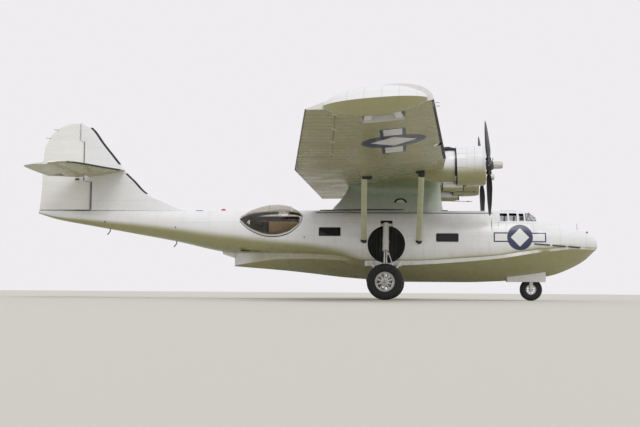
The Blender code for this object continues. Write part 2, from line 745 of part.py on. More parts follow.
def pylon_ring(z, front, rear, half_width):
    """One level of the pylon: round front, straight sides, tapering tail."""
    shares = (0.0, 0.015, 0.06, 0.14, 0.30, 0.55, 0.75, 0.90, 0.98, 1.0)
    side = []
    for share in shares:
        nose = math.sqrt(max(0.0, 1 - (1 - min(share / 0.16, 1)) ** 2))
        tail = math.sqrt(max(0.0, 1 - max(0.0, (share - 0.5) / 0.5) ** 2.2))
        side.append((front + (rear - front) * share, half_width * nose * tail))
    port = [at(s, y, z) for s, y in side]
    starboard = [at(s, -y, z) for s, y in side[-2:0:-1]]
    return port + starboard


def lift_strut(name, way, foot_s, foot_z, top_s):
    """A streamlined strut from inside the hull's side to inside the wing, trimmed to both later."""
    foot = Vector((foot_s, 1.50, foot_z))
    top = Vector((top_s, STRUT_TOP_Y, 3.46))
    run = top - foot
    foot -= run * 0.03
    top += run * 0.03
    shares = (0.0, 0.06, 0.25, 0.5, 0.75, 1.0)
    widths = (0.0, 0.024, 0.038, 0.034, 0.02, 0.002)
    across = Vector((0.0, run.z, -run.y)).normalized()
    rings = []
    for centre in (foot, top):
        outline = [(share, width) for share, width in zip(shares, widths)]
        outline += [(share, -width) for share, width in reversed(outline[1:])]
        ring = []
        for share, width in outline:
            point = centre + Vector(((share - 0.4) * 0.19, 0, 0)) + across * width
            ring.append(at(point.x, way * point.y, point.z))
        rings.append(ring)
    return loft(name, rings, PAINT)


# Engines
def thrust(y, forward, radial=0.0, turn=0.0):
    """A point by its distance ahead of the propeller plane along the thrust line, radius and angle."""
    along = Vector((math.cos(THRUST_TILT), 0, math.sin(THRUST_TILT)))
    up = Vector((-math.sin(THRUST_TILT), 0, math.cos(THRUST_TILT)))
    side = Vector((0, 1, 0))
    centre = at(THRUST_S, y, THRUST_Z) + along * forward
    return centre + radial * (math.cos(turn) * up + math.sin(turn) * side)


THRUST_AXIS = Vector((math.cos(THRUST_TILT), 0, math.sin(THRUST_TILT)))


def make_nacelles(envelope_wing):
    for side, way in SIDES:
        y = way * ENGINE_Y
        rings = []
        for s, z, wide, high in NACELLE:
            turns = [math.radians(360 / 20 * i) for i in range(20)]
            rings.append([at(s, y + wide * math.cos(t), z + high * math.sin(t)) for t in turns])
        nacelle = loft(f"nacelle_{side}", rings, PAINT)
        barrel_z = 3.12
        duct = turned(
            f"cut_cooler_{side}",
            ((0.0, 0.27), (0.115, 0.27), (0.12, 0.35), (0.145, 0.35), (0.168, 0.10), (0.168, -0.10),
             (0.14, -0.35), (0.115, -0.35), (0.11, -0.27), (0.0, -0.27)),
            at(4.985, y, barrel_z), (1, 0, 0), None, steps=20,
        )
        saddle = block(f"cut_saddle_{side}", at(5.30, y - 0.12, barrel_z), at(4.95, y + 0.12, 3.50))
        combine(nacelle, [duct, saddle], "UNION")
        combine(nacelle, [envelope_wing], "DIFFERENCE")
        cowling(side, y)
        engine(side, y)
        propeller(side, y)


def cowling(side, y):
    """The cowling: rounded lip, plain barrel and a slightly flared skirt, open at both ends."""
    lip, skirt = -0.13, -1.06
    profile = (
        (0.535, lip - 0.04), (0.555, lip - 0.01), (0.585, lip), (0.615, lip - 0.02), (0.645, lip - 0.10),
        (COWL_RADIUS, lip - 0.28), (COWL_RADIUS, -0.74), (0.655, skirt), (0.640, skirt), (0.640, -0.72),
        (0.638, lip - 0.28), (0.60, lip - 0.16), (0.545, lip - 0.08),
    )
    ring = turned(f"cowling_{side}", profile, thrust(y, 0.0), THRUST_AXIS, PAINT, steps=30, closed=True)
    gap = block(f"cut_skirt_{side}", at(5.0, y - 0.20, 2.9), at(4.60, y + 0.20, 3.45))
    combine(ring, [gap], "DIFFERENCE")


def engine(side, y):
    """Gear case, crankcase and mount as one turned body, with two rows of seven cylinders and a baffle."""
    profile = (
        (0.0, -0.098), (0.075, -0.098), (0.09, -0.17), (0.19, -0.24), (0.25, -0.32), (0.27, -0.40),
        (0.27, -0.48), (0.632, -0.485), (0.632, -0.515), (0.27, -0.52), (0.27, -0.78), (0.22, -0.84),
        (0.30, -0.95), (0.30, -1.106), (0.0, -1.106),
    )
    block_piece = turned(f"engine_{side}", profile, thrust(y, 0.0), THRUST_AXIS, ENGINE_GREY, steps=20)
    cylinders = []
    for row, depth in enumerate((-0.37, -0.63)):
        for number in range(7):
            turn = 2 * math.pi * (number + 0.5 * row) / 7
            name = f"cut_cylinder_{side}_{row}_{number}"
            ends = [thrust(y, depth, radius, turn) for radius in (0.20, 0.59)]
            cylinders.append(rod(name, *ends, 0.082, sides=8))
    combine(block_piece, cylinders, "UNION")


def propeller(side, y):
    """Hub with a long dome and three twisted blades."""
    profile = (
        (0.0, 0.46), (0.06, 0.45), (0.105, 0.41), (0.12, 0.34), (0.12, 0.12), (0.17, 0.09), (0.17, -0.09),
        (0.0, -0.09),
    )
    hub = turned(f"propeller_{side}", profile, thrust(y, 0.0), THRUST_AXIS, BLADE_BLACK, steps=14)
    turns = [math.radians(30 + 120 * number) for number in range(3)]
    blades = [blade(f"cut_blade_{side}_{number}", y, turn) for number, turn in enumerate(turns)]
    combine(hub, blades, "UNION")


def blade(name, y, turn):
    """A twisted blade, lofted outwards along its own line."""
    rings = []
    for radius, chord, thick, pitch in BLADE:
        angle = math.radians(pitch)
        ring = []
        for share, half in ((0.0, 0.0), (0.12, 0.36), (0.35, 0.5), (0.7, 0.34), (1.0, 0.04),
                            (0.7, -0.34), (0.35, -0.5), (0.12, -0.36)):
            across, out = (share - 0.45) * chord, half * thick
            sideways = across * math.cos(angle) - out * math.sin(angle)
            forward = across * math.sin(angle) + out * math.cos(angle)
            centre = thrust(y, forward, radius, turn)
            tangent = thrust(y, 0.0, 1.0, turn + math.pi / 2) - thrust(y, 0.0)
            ring.append(centre + tangent * sideways)
        rings.append(ring)
    return loft(name, rings, None)


# Wing-tip floats
def float_ring(share, way):
    """One section of a retracted float: deck inboard, chines above and below, keel outboard."""
    plan = max(0.0, 1 - abs(share) ** 2.3) ** 0.75
    half = 0.04 + 0.31 * plan
    depth = 0.10 + (FLOAT_Y[1] - FLOAT_Y[0] - 0.10) * max(0.0, 1 - abs(share) ** 2.6) ** 0.8
    s = (FLOAT_S[0] + FLOAT_S[1]) / 2 + share * (FLOAT_S[1] - FLOAT_S[0]) / 2
    tilt = -INCIDENCE * (s - 7.2)
    outline = ((0.0, 0.75), (0.0, -0.75), (0.16, -0.98), (0.50, -0.94), (0.78, -0.58), (1.0, 0.0),
               (0.78, 0.58), (0.50, 0.94), (0.16, 0.98))
    return [at(s, way * (FLOAT_Y[0] + depth * out), FLOAT_Z + tilt + half * up) for out, up in outline]


def make_floats():
    for side, way in SIDES:
        shares = (-1.0, -0.96, -0.85, -0.65, -0.35, 0.0, 0.35, 0.65, 0.85, 0.96, 1.0)
        piece = loft(f"float_{side}", [float_ring(share, way) for share in shares], PAINT)
        hinged(piece, float_panel(way * FLOAT_HINGE_Y, 0.055, FLOAT_HINGE_S))
        combine(piece, [float_arm(side, way, number) for number in range(2)], "UNION")


def float_panel(y, rise, s):
    """A point under the outer wing, level with its lower skin at that span position."""
    z = WING_LE_Z + DIHEDRAL * (abs(y) - KINK_Y) - INCIDENCE * (s - TIP_LE_S) + lower(0.35) * 3.2
    return at(s, y, z + rise)


def float_arm(side, way, number):
    """One arm of the float's frame, from its hinge under the wing to the float's deck."""
    root_s, tip_s = ((6.62, 6.75), (7.42, 7.35))[number]
    rings = []
    for y, s in ((FLOAT_HINGE_Y - 0.03, root_s), (FLOAT_Y[0] + 0.06, tip_s)):
        rings.append([
            float_panel(way * y, rise, s + across)
            for across, rise in ((-0.09, 0.03), (-0.09, 0.08), (0.09, 0.08), (0.09, 0.03))
        ])
    return loft(f"cut_float_arm_{side}_{number}", rings, None)


def float_pocket(side, way):
    """The recess in the wing's lower skin that the float's frame folds into."""
    rings = []
    for y in (FLOAT_HINGE_Y - 0.10, TIP_Y + 0.05):
        rings.append([
            float_panel(way * y, rise, s)
            for s, rise in ((6.48, -0.40), (6.48, 0.15), (7.56, 0.15), (7.56, -0.40))
        ])
    return loft(f"cut_float_pocket_{side}", rings, None)


# Landing gear
def tyre(name, centre, radius, half_width, bore, steps=28):
    """A tyre as a turned ring: tread, round shoulders, sidewalls and bead."""
    wall = radius - bore
    profile = (
        (bore, half_width * 0.62), (bore + wall * 0.35, half_width * 0.96),
        (bore + wall * 0.66, half_width), (bore + wall * 0.90, half_width * 0.72),
        (radius, half_width * 0.30), (radius, -half_width * 0.30),
        (bore + wall * 0.90, -half_width * 0.72), (bore + wall * 0.66, -half_width),
        (bore + wall * 0.35, -half_width * 0.96), (bore, -half_width * 0.62),
    )
    return turned(name, profile, centre, (0, 1, 0), RUBBER, steps=steps, closed=True)


def rim(name, centre, bore, half_width, axle, steps=28):
    """A dished wheel with a bored hub that fills the tyre's bore."""
    edge = bore - GAP
    profile = (
        (axle, half_width * 0.55), (axle + 0.05, half_width * 0.55), (axle + 0.07, half_width * 0.20),
        (edge * 0.82, half_width * 0.20), (edge, half_width * 0.62), (edge, -half_width * 0.62),
        (edge * 0.82, -half_width * 0.20), (axle + 0.07, -half_width * 0.20),
        (axle + 0.05, -half_width * 0.55), (axle, -half_width * 0.55),
    )
    return turned(name, profile, centre, (0, 1, 0), STEEL, steps=steps, closed=True)


def make_main_gear():
    s, track = MAIN_WHEEL
    axle_z = MAIN_TYRE_RADIUS - KEEL_HEIGHT
    for side, way in SIDES:
        centre = at(s, way * track, axle_z)
        tyre(f"main_tyre_{side}", centre, MAIN_TYRE_RADIUS, 0.21, 0.31)
        rim(f"main_wheel_{side}", centre, 0.31, 0.21, 0.058)

        def bar(name, start, end, radius, finish=None):
            """A bar between two points, each a station, a distance outboard and a height."""
            ends = [at(station, way * y, z) for station, y, z in (start, end)]
            return rod(f"{name}_{side}", *ends, radius, finish, sides=12)

        knuckle = track - 0.33
        leg = bar("main_leg", (s, 1.17, 1.92), (s, knuckle, axle_z + 0.02), 0.075, STEEL)
        joined = [
            bar("cut_cylinder", (s, 1.155, 1.95), (s, 1.62, 1.05), 0.105),
            bar("cut_leg_pin", (s - 0.22 + GAP, 1.20, 1.90), (s + 0.18 - GAP, 1.20, 1.90), 0.05),
            bar("cut_axle", (s, knuckle - 0.08, axle_z), (s, track + 0.12, axle_z), 0.05),
            bar("cut_knuckle", (s, knuckle - 0.12, axle_z), (s, knuckle + 0.08, axle_z), 0.12),
        ]
        for number, foot_s in enumerate((6.72, 7.68)):
            joined.append(bar(f"cut_brace_{number}", (foot_s, 1.575, 0.60), (s, knuckle, axle_z), 0.045))
            joined.append(bar(f"cut_pad_{number}", (foot_s, 1.5155, 0.60), (foot_s, 1.60, 0.60), 0.07))
        combine(leg, joined, "UNION")


def make_nose_gear():
    axle_z = NOSE_TYRE_RADIUS - KEEL_HEIGHT
    centre = at(NOSE_WHEEL_S, 0, axle_z)
    tyre("nose_tyre", centre, NOSE_TYRE_RADIUS, 0.105, 0.17, steps=24)
    rim("nose_wheel", centre, 0.17, 0.105, 0.035, steps=24)
    top = 1.05 - GAP
    leg = rod("nose_leg", at(NOSE_WHEEL_S, 0, 0.36), at(NOSE_WHEEL_S, 0, top), 0.07, STEEL, 12)
    brace = rod("cut_nose_brace", at(NOSE_WHEEL_S, 0, 0.52), at(2.92, 0, 0.99), 0.035)
    foot = block("cut_nose_foot", at(3.00, -0.10, 0.95), at(2.84, 0.10, top))
    combine(leg, [brace, foot], "UNION")

    crown = 0.20
    fork = block("nose_fork", at(2.34, -0.16, crown), at(2.16, 0.16, crown + 0.07), STEEL)
    stem = rod("cut_fork_stem", at(NOSE_WHEEL_S, 0, crown + 0.03), at(NOSE_WHEEL_S, 0, 0.354), 0.055)
    joined = [stem]
    for side, way in SIDES:
        y = way * 0.14
        low, high = at(2.31, y - 0.018, axle_z - 0.05), at(2.19, y + 0.018, crown + 0.05)
        joined.append(block(f"cut_fork_leg_{side}", low, high))
    ends = [at(NOSE_WHEEL_S, y, axle_z) for y in (-0.15, 0.15)]
    joined.append(rod("cut_nose_axle", *ends, 0.028))
    hinged(fork, at(NOSE_WHEEL_S, 0.0, crown + 0.08))
    combine(fork, joined, "UNION")
    for side, way in SIDES:
        near, far = way * (0.30 - GAP), way * (0.28 - GAP)
        block(f"nose_door_{side}", at(3.08, near, 0.02), at(1.77, far, 0.46), PAINT)


make_hull()
HULL_OUTSIDE = hull_envelope("cut_hull_outside")
make_blisters(HULL_OUTSIDE)
make_cockpit()
make_tail()
make_wing(HULL_OUTSIDE)
make_floats()
make_main_gear()
make_nose_gear()
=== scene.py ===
"""The looks of a twin-engined amphibious flying boat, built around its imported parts.

Places are given as on an aircraft drawing: s is the station aft of the nose, y the distance to port
and z the height above the keel at the main step, in metres. at() turns them into the frame.
"""

import math

import bmesh
import bpy
import numpy as np
from mathutils import Matrix, Vector


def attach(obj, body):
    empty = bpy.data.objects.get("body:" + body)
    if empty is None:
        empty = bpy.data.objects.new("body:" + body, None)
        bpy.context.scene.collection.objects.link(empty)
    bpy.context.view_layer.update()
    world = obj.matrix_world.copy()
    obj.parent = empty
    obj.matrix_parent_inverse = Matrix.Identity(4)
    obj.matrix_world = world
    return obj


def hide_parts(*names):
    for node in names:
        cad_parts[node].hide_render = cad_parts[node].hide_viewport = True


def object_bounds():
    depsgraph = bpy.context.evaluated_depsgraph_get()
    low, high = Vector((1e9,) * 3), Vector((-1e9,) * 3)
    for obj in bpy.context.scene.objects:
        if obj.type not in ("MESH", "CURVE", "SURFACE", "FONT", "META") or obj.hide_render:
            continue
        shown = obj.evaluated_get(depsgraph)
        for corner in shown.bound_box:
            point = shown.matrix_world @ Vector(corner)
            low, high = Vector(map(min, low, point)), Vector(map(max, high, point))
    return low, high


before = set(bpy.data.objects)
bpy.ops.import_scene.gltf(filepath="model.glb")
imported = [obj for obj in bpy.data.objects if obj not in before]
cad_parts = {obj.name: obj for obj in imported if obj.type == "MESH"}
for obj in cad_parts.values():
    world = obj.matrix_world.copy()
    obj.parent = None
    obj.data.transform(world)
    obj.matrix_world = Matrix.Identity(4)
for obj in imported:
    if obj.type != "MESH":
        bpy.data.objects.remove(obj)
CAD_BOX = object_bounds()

# Driving dimensions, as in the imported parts
NOSE_X = CAD_BOX[1].x
KEEL_HEIGHT = 0.62
SIDES = (("l", 1), ("r", -1))
WING_LE_S = 5.31
WING_LE_Z = 3.67
CHORD = 4.57
TIP_CHORD = 3.08
TIP_LE_S = 5.80
KINK_Y = 6.34
TIP_Y = 15.05
DIHEDRAL = 0.0621
INCIDENCE = 0.0808
BOX_END = 0.60
AILERON_Y = (8.60, 14.88)
AILERON_HINGE = 0.775
RUDDER_HINGE_S = 18.04
ELEVATOR_HINGE_S = 17.99
TAIL_MID = (17.67, 3.72)
TAIL_SLOPE = 0.10
TAIL_GAP = 0.012
ENGINE_Y = 2.353
THRUST_S = 3.81
THRUST_Z = 3.815
THRUST_TILT = math.radians(2.5)
MAIN_WHEEL = (7.20, 2.55, 0.597)
NOSE_WHEEL = (2.25, 0.381)
WELL = (7.18, 1.24, 0.63)
BAY = 0.45
TRAILING_SWEEP = (WING_LE_S - TIP_LE_S + (CHORD - TIP_CHORD) * math.cos(INCIDENCE)) / (TIP_Y - KINK_Y)

# Hull above the chine: station, neck height and half-width, widest height and half-width, deck height
UPPER = (
    (0.00, 1.300, 0.03, 1.34, 0.04, 1.40), (0.03, 1.240, 0.15, 1.33, 0.16, 1.45),
    (0.10, 1.200, 0.27, 1.33, 0.28, 1.53), (0.40, 1.200, 0.56, 1.32, 0.57, 1.73),
    (0.96, 1.200, 0.88, 1.32, 0.90, 1.92), (1.55, 1.150, 1.08, 1.30, 1.12, 2.07),
    (2.09, 1.100, 1.22, 1.28, 1.27, 2.175), (2.12, 1.100, 1.22, 1.28, 1.27, 2.200),
    (2.40, 1.055, 1.27, 1.27, 1.32, 2.443), (2.46, 1.050, 1.27, 1.27, 1.32, 2.460),
    (3.40, 0.900, 1.42, 1.22, 1.46, 2.460), (4.60, 0.800, 1.48, 1.15, 1.53, 2.45),
    (6.20, 0.700, 1.51, 1.10, 1.55, 2.45), (7.90, 0.685, 1.485, 1.12, 1.545, 2.45),
    (8.80, 0.860, 1.36, 1.22, 1.52, 2.45), (9.80, 0.930, 1.12, 1.32, 1.45, 2.45),
    (10.80, 0.950, 0.80, 1.42, 1.32, 2.45), (11.70, 0.950, 0.45, 1.52, 1.17, 2.44),
    (12.48, 0.970, 0.04, 1.60, 1.03, 2.43), (14.60, 1.370, 0.02, 1.85, 0.72, 2.43),
    (16.00, 1.620, 0.02, 2.00, 0.50, 2.43), (17.60, 1.900, 0.02, 2.128, 0.268, 2.43),
    (18.80, 2.120, 0.01, 2.22, 0.12, 2.44), (19.46, 2.320, 0.00, 2.36, 0.03, 2.44),
)
# Planing bottoms ahead of and behind the main step: station, keel, chine height and half-beam
BOTTOM = (
    (0.00, 1.220, 1.270, 0.02), (0.03, 1.140, 1.180, 0.14), (0.10, 1.080, 1.130, 0.26),
    (0.40, 0.790, 1.130, 0.55), (0.96, 0.470, 1.125, 0.87), (1.55, 0.250, 1.060, 1.07),
    (2.10, 0.155, 0.995, 1.21), (3.40, 0.040, 0.790, 1.41), (4.60, 0.000, 0.670, 1.47),
    (6.20, 0.000, 0.560, 1.50), (7.90, 0.000, 0.510, 1.50),
)
AFTERBODY = (
    (7.90, 0.080, 0.590, 1.43), (8.80, 0.155, 0.700, 1.30), (9.80, 0.270, 0.750, 1.06),
    (10.80, 0.370, 0.745, 0.74), (11.70, 0.440, 0.650, 0.38), (12.48, 0.500, 0.530, 0.03),
)
# Fin: height, leading edge
FIN = (
    (2.43, 14.00), (2.58, 14.57), (2.77, 15.02), (3.01, 15.56), (3.47, 16.03), (3.77, 16.34), (4.07, 16.56),
    (4.83, 17.17), (5.30, 17.52), (5.45, 17.72), (5.54, 17.96),
)
# Rudder: height, front of its balance, trailing edge
RUDDER = (
    (2.46, 17.60, 19.44), (3.45, 17.60, 19.36), (3.47, 17.86, 19.36), (4.56, 17.86, 19.29),
    (4.86, 17.86, 19.18), (4.88, 18.02, 19.16), (5.01, 18.02, 19.11), (5.24, 18.02, 18.89),
    (5.40, 18.02, 18.64), (5.50, 18.02, 18.36),
)
# Tailplane: distance from the middle, leading edge, trailing edge
TAILPLANE = (
    (0.15, 16.40, 18.96), (1.50, 16.69, 18.93), (4.10, 17.22, 18.82), (4.40, 17.34, 18.76),
    (4.56, 17.50, 18.62), (4.64, 17.68, 18.42),
)
# Pylon: height, front, rear, half-width
PYLON = (
    (2.22, 5.22, 9.18, 0.76), (2.50, 5.26, 9.08, 0.66), (2.75, 5.30, 8.86, 0.56), (3.05, 5.33, 8.64, 0.50),
    (3.22, 5.34, 8.56, 0.52), (3.40, 5.35, 8.52, 0.66), (3.58, 5.36, 8.52, 0.80),
    (3.70, 5.40, 8.30, 0.84),
)
# Nacelle behind the cowling: station, height of its axis, half-width, half-height
NACELLE = (
    (4.93, 3.80, 0.54, 0.54), (5.10, 3.79, 0.56, 0.55), (5.35, 3.78, 0.54, 0.52),
    (5.80, 3.78, 0.46, 0.48), (6.30, 3.80, 0.34, 0.40), (6.80, 3.84, 0.16, 0.26),
)
# Blister: station, distance of its axis from the middle, height of the axis, radius
BLISTER = (
    (10.02, 0.98, 2.03, 0.06), (10.10, 0.98, 2.03, 0.24), (10.28, 0.98, 2.03, 0.41), (10.55, 0.98, 2.03, 0.53),
    (10.90, 0.98, 2.03, 0.57), (11.25, 0.97, 2.03, 0.54), (11.60, 0.95, 2.04, 0.44), (11.90, 0.93, 2.06, 0.30),
    (12.12, 0.92, 2.08, 0.12), (12.20, 0.92, 2.09, 0.03),
)
# Propeller blade: radius, chord, thickness, pitch in degrees
BLADE = (
    (0.13, 0.12, 0.110, 52), (0.30, 0.13, 0.100, 50), (0.50, 0.22, 0.065, 46), (0.85, 0.29, 0.045, 38),
    (1.20, 0.29, 0.032, 31), (1.55, 0.24, 0.020, 26), (1.76, 0.16, 0.012, 23), (1.84, 0.05, 0.006, 22),
)

# Colours
WHITE = (0.77, 0.775, 0.775)
# Olive tone for faces turned to the ground: painted shade with reflected ground colour
UNDERSIDE_SHADE = (0.35, 0.335, 0.165)
DIRT = (0.30, 0.27, 0.20)
BLACK = (0.012, 0.012, 0.013)
BLUE = (0.028, 0.036, 0.085)


def at(s, y, z):
    """Station, distance to port and height above the keel as a point of the frame."""
    return Vector((NOSE_X - s, y, z + KEEL_HEIGHT))


def smooth_rows(table, keys):
    """Rows of a table at some keys of its first column, along curves that never overshoot its rows."""
    rows = np.array(table, float)
    step = np.diff(rows[:, 0])[:, None]
    rise = np.diff(rows, axis=0) / step
    slope = np.zeros_like(rows)
    slope[0], slope[-1] = rise[0], rise[-1]
    same = rise[:-1] * rise[1:] > 1e-12
    before, after = 2 * step[1:] + step[:-1], step[1:] + 2 * step[:-1]
    low, high = np.where(same, rise[:-1], 1.0), np.where(same, rise[1:], 1.0)
    slope[1:-1] = np.where(same, (before + after) / (before / low + after / high), 0.0)
    result = []
    for key in keys:
        i = int(np.clip(np.searchsorted(rows[:, 0], key) - 1, 0, len(rows) - 2))
        t, h = np.clip((key - rows[i, 0]) / step[i, 0], 0, 1), step[i, 0]
        ease = t * t * (3 - 2 * t)
        curved = h * (t * (1 - t) ** 2 * slope[i] - t * t * (1 - t) * slope[i + 1])
        result.append([float(v) for v in rows[i] + ease * (rows[i + 1] - rows[i]) + curved])
    return result


def smooth(table, key):
    """One smoothly read row of a table."""
    return smooth_rows(table, [key])[0]


def spread(low, high, step, *kept):
    """Evenly spread values between two ends, with some that are kept exactly."""
    count = max(1, round((high - low) / step))
    values = {round(low + (high - low) * i / count, 4) for i in range(count + 1)}
    values = {v for v in values if all(abs(v - k) > step * 0.3 for k in kept)}
    return sorted(values | {round(k, 4) for k in kept} | {low, high})


# Materials
class Field:
    """A number that varies over a surface, so that patterns are written as arithmetic."""

    def __init__(self, tree, socket):
        self.tree = tree
        self.socket = socket

    def do(self, operation, *others):
        node = self.tree.nodes.new("ShaderNodeMath")
        node.operation = operation
        for slot, value in zip(node.inputs, (self, *others)):
            if isinstance(value, Field):
                self.tree.links.new(value.socket, slot)
            else:
                slot.default_value = value
        return Field(self.tree, node.outputs[0])

    def near(self, place, half):
        """1 where the number is within half of a place, else 0."""
        return (self - place).do("ABSOLUTE") < half

    def every(self, period, shift, half):
        """1 on stripes that repeat at a period, else 0."""
        return (self - shift).do("PINGPONG", period / 2) < half

    def between(self, low, high):
        """0 below a range, 1 above it, rising smoothly inside."""
        node = self.tree.nodes.new("ShaderNodeMapRange")
        node.interpolation_type = "SMOOTHSTEP"
        self.tree.links.new(self.socket, node.inputs["Value"])
        node.inputs["From Min"].default_value = low
        node.inputs["From Max"].default_value = high
        return Field(self.tree, node.outputs["Result"])


OPERATORS = {
    "__add__": "ADD", "__sub__": "SUBTRACT", "__mul__": "MULTIPLY", "__truediv__": "DIVIDE",
    "__lt__": "LESS_THAN", "__gt__": "GREATER_THAN", "least": "MINIMUM", "most": "MAXIMUM",
}
for method, operation in OPERATORS.items():
    setattr(Field, method, lambda self, other, operation=operation: self.do(operation, other))


class Finish:
    """A material being made: its shader, where each point lies, and its colour and relief so far."""

    def __init__(self, name, colour, roughness, metallic=0.0, **sockets):
        self.material = bpy.data.materials.new(name)
        self.material.use_nodes = True
        self.tree = self.material.node_tree
        self.shader = self.tree.nodes["Principled BSDF"]
        self.base = (*colour, 1.0)
        self.set("Base Color", self.base)
        self.set("Roughness", roughness)
        self.set("Metallic", metallic)
        for socket, value in sockets.items():
            self.set(socket.replace("_", " "), value)
        place = self.tree.nodes.new("ShaderNodeTexCoord")
        split = self.tree.nodes.new("ShaderNodeSeparateXYZ")
        self.place = place.outputs["Object"]
        self.tree.links.new(self.place, split.inputs[0])
        self.x, self.y, self.z = (Field(self.tree, out) for out in split.outputs)
        self.colour = None
        self.relief = None

    def set(self, socket, value):
        self.shader.inputs[socket].default_value = value

    def station(self):
        """The station aft of the nose."""
        return (self.x - NOSE_X) * -1.0

    def height(self):
        """The height above the keel."""
        return self.z - KEEL_HEIGHT

    def noise(self, scale, stretch=(1, 1, 1), detail=3.0):
        turn = self.tree.nodes.new("ShaderNodeMapping")
        turn.inputs["Scale"].default_value = stretch
        node = self.tree.nodes.new("ShaderNodeTexNoise")
        node.inputs["Scale"].default_value = scale
        node.inputs["Detail"].default_value = detail
        self.tree.links.new(self.place, turn.inputs["Vector"])
        self.tree.links.new(turn.outputs[0], node.inputs["Vector"])
        return Field(self.tree, node.outputs["Fac"])

    def facing_down(self):
        """1 on what faces the ground, 0 on what faces the sky."""
        geometry = self.tree.nodes.new("ShaderNodeNewGeometry")
        split = self.tree.nodes.new("ShaderNodeSeparateXYZ")
        self.tree.links.new(geometry.outputs["Normal"], split.inputs[0])
        return Field(self.tree, split.outputs["Z"]).between(0.10, -0.50)

    def tint(self, amount, colour):
        """Turns the colour towards another by an amount from 0 to 1."""
        mix = self.tree.nodes.new("ShaderNodeMix")
        mix.data_type = "RGBA"
        self.tree.links.new(amount.socket, mix.inputs["Factor"])
        old, new = [slot for slot in mix.inputs if slot.type == "RGBA"]
        old.default_value = self.base
        new.default_value = (*colour, 1.0)
        if self.colour:
            self.tree.links.new(self.colour, old)
        self.colour = [slot for slot in mix.outputs if slot.type == "RGBA"][0]
        self.tree.links.new(self.colour, self.shader.inputs["Base Color"])
        return self

    def rough(self, amount, low, high):
        """Spreads the roughness between two values by an amount from 0 to 1."""
        value = amount * (high - low) + low
        self.tree.links.new(value.socket, self.shader.inputs["Roughness"])
        return self

    def raise_by(self, field, distance):
        """Relief: the field's value times a distance in metres."""
        node = self.tree.nodes.new("ShaderNodeBump")
        node.inputs["Distance"].default_value = distance
        self.tree.links.new(field.socket, node.inputs["Height"])
        if self.relief:
            self.tree.links.new(self.relief, node.inputs["Normal"])
        self.relief = node.outputs["Normal"]
        self.tree.links.new(self.relief, self.shader.inputs["Normal"])
        return self


def weathered(finish, soil=0.12, under=True):
    """Faint patches and streaks of dirt along the flow over any paint, and painted shade with reflected ground colour
    on what faces down.
    """
    patches = finish.noise(0.9, detail=4.0).between(0.42, 0.68)
    streaks = finish.noise(2.2, (0.25, 2.5, 2.5)).between(0.50, 0.78)
    # Painted shade: faces turned to the ground take the olive tone of shade and of light reflected from the ground
    if under:
        finish.tint(finish.facing_down(), UNDERSIDE_SHADE)
    finish.tint(patches * (soil * 0.35), DIRT)
    finish.tint(streaks * (soil * 0.30), DIRT)
    finish.rough(patches, 0.26, 0.40)
    return finish


def seams(finish, lines, depth=0.0012, shade=0.30):
    """Panel joints: a dark hairline and a shallow step along each line."""
    finish.tint(lines * shade, DIRT)
    finish.raise_by(lines * -1.0, depth)
    return finish


def rivets(finish, along, across, period, shift, pitch=0.045):
    """Rows of rivet heads beside joints that repeat along one direction."""
    rows = (across - shift).do("PINGPONG", period / 2).near(0.022, 0.005)
    heads = along.do("PINGPONG", pitch / 2) < 0.006
    finish.raise_by(rows * heads, 0.0015)
    return finish


def roundel(finish, across, along, centre, radius):
    """A plain blue disc with a white lozenge, and a blue-edged white bar on each side of it."""
    u, v = (across - centre[0]), (along - centre[1])
    far = (u * u + v * v).do("SQRT")
    span, rise = u.do("ABSOLUTE"), v.do("ABSOLUTE")
    reach, tall = radius * 2.05, radius * 0.38
    edge = radius * 0.10
    bar = (span < reach) * (rise < tall)
    inside = (span < reach - edge) * (rise < tall - edge)
    finish.tint(bar, BLUE).tint(inside, WHITE)
    finish.tint(far < radius, BLUE)
    finish.tint((span + rise) < radius * 0.72, WHITE)
    return finish


def hull_paint():
    finish = weathered(Finish("hull_paint", WHITE, 0.3, Coat_Weight=0.25, Coat_Roughness=0.15), 0.13)
    s, z = finish.station(), finish.height()
    above = z > 1.16
    frames = s.every(0.92, 0.42, 0.004) * above
    laps = (z.near(1.52, 0.004) + z.near(1.98, 0.004)).least(1.0) * (s > 1.2)
    keelside = s.every(0.92, 0.42, 0.004) * (z < 1.10)
    seams(finish, (frames + laps + keelside).least(1.0))
    rivets(finish, finish.z, s, 0.92, 0.42)
    run_off = finish.noise(3.2, (2.6, 2.6, 0.35)).between(0.48, 0.74) * z.between(1.9, 0.9)
    finish.tint(run_off * 0.16, DIRT)
    roundel(finish, s, z, (2.72, 1.50), 0.43)
    return finish.material


def wing_paint(name, insignia=False):
    finish = weathered(Finish(name, WHITE, 0.3, Coat_Weight=0.25, Coat_Roughness=0.15), 0.12)
    s, y = finish.station(), finish.y.do("ABSOLUTE")
    ribs = y.every(0.98, 0.46, 0.004)
    spars = (s.near(6.12, 0.006) + s.near(7.35, 0.006)).least(1.0)
    root = y.near(KINK_Y, 0.012)
    seams(finish, (ribs * 0.5 + spars + root).least(1.0), shade=0.32)
    rivets(finish, s, y, 0.98, 0.46)
    finish.tint(y.near(KINK_Y, 0.028) * 0.75, (0.07, 0.065, 0.045))
    if insignia:
        roundel(finish, finish.y, s, (-10.4 if insignia == "r" else 10.4, 6.82), 0.88)
    return finish.material


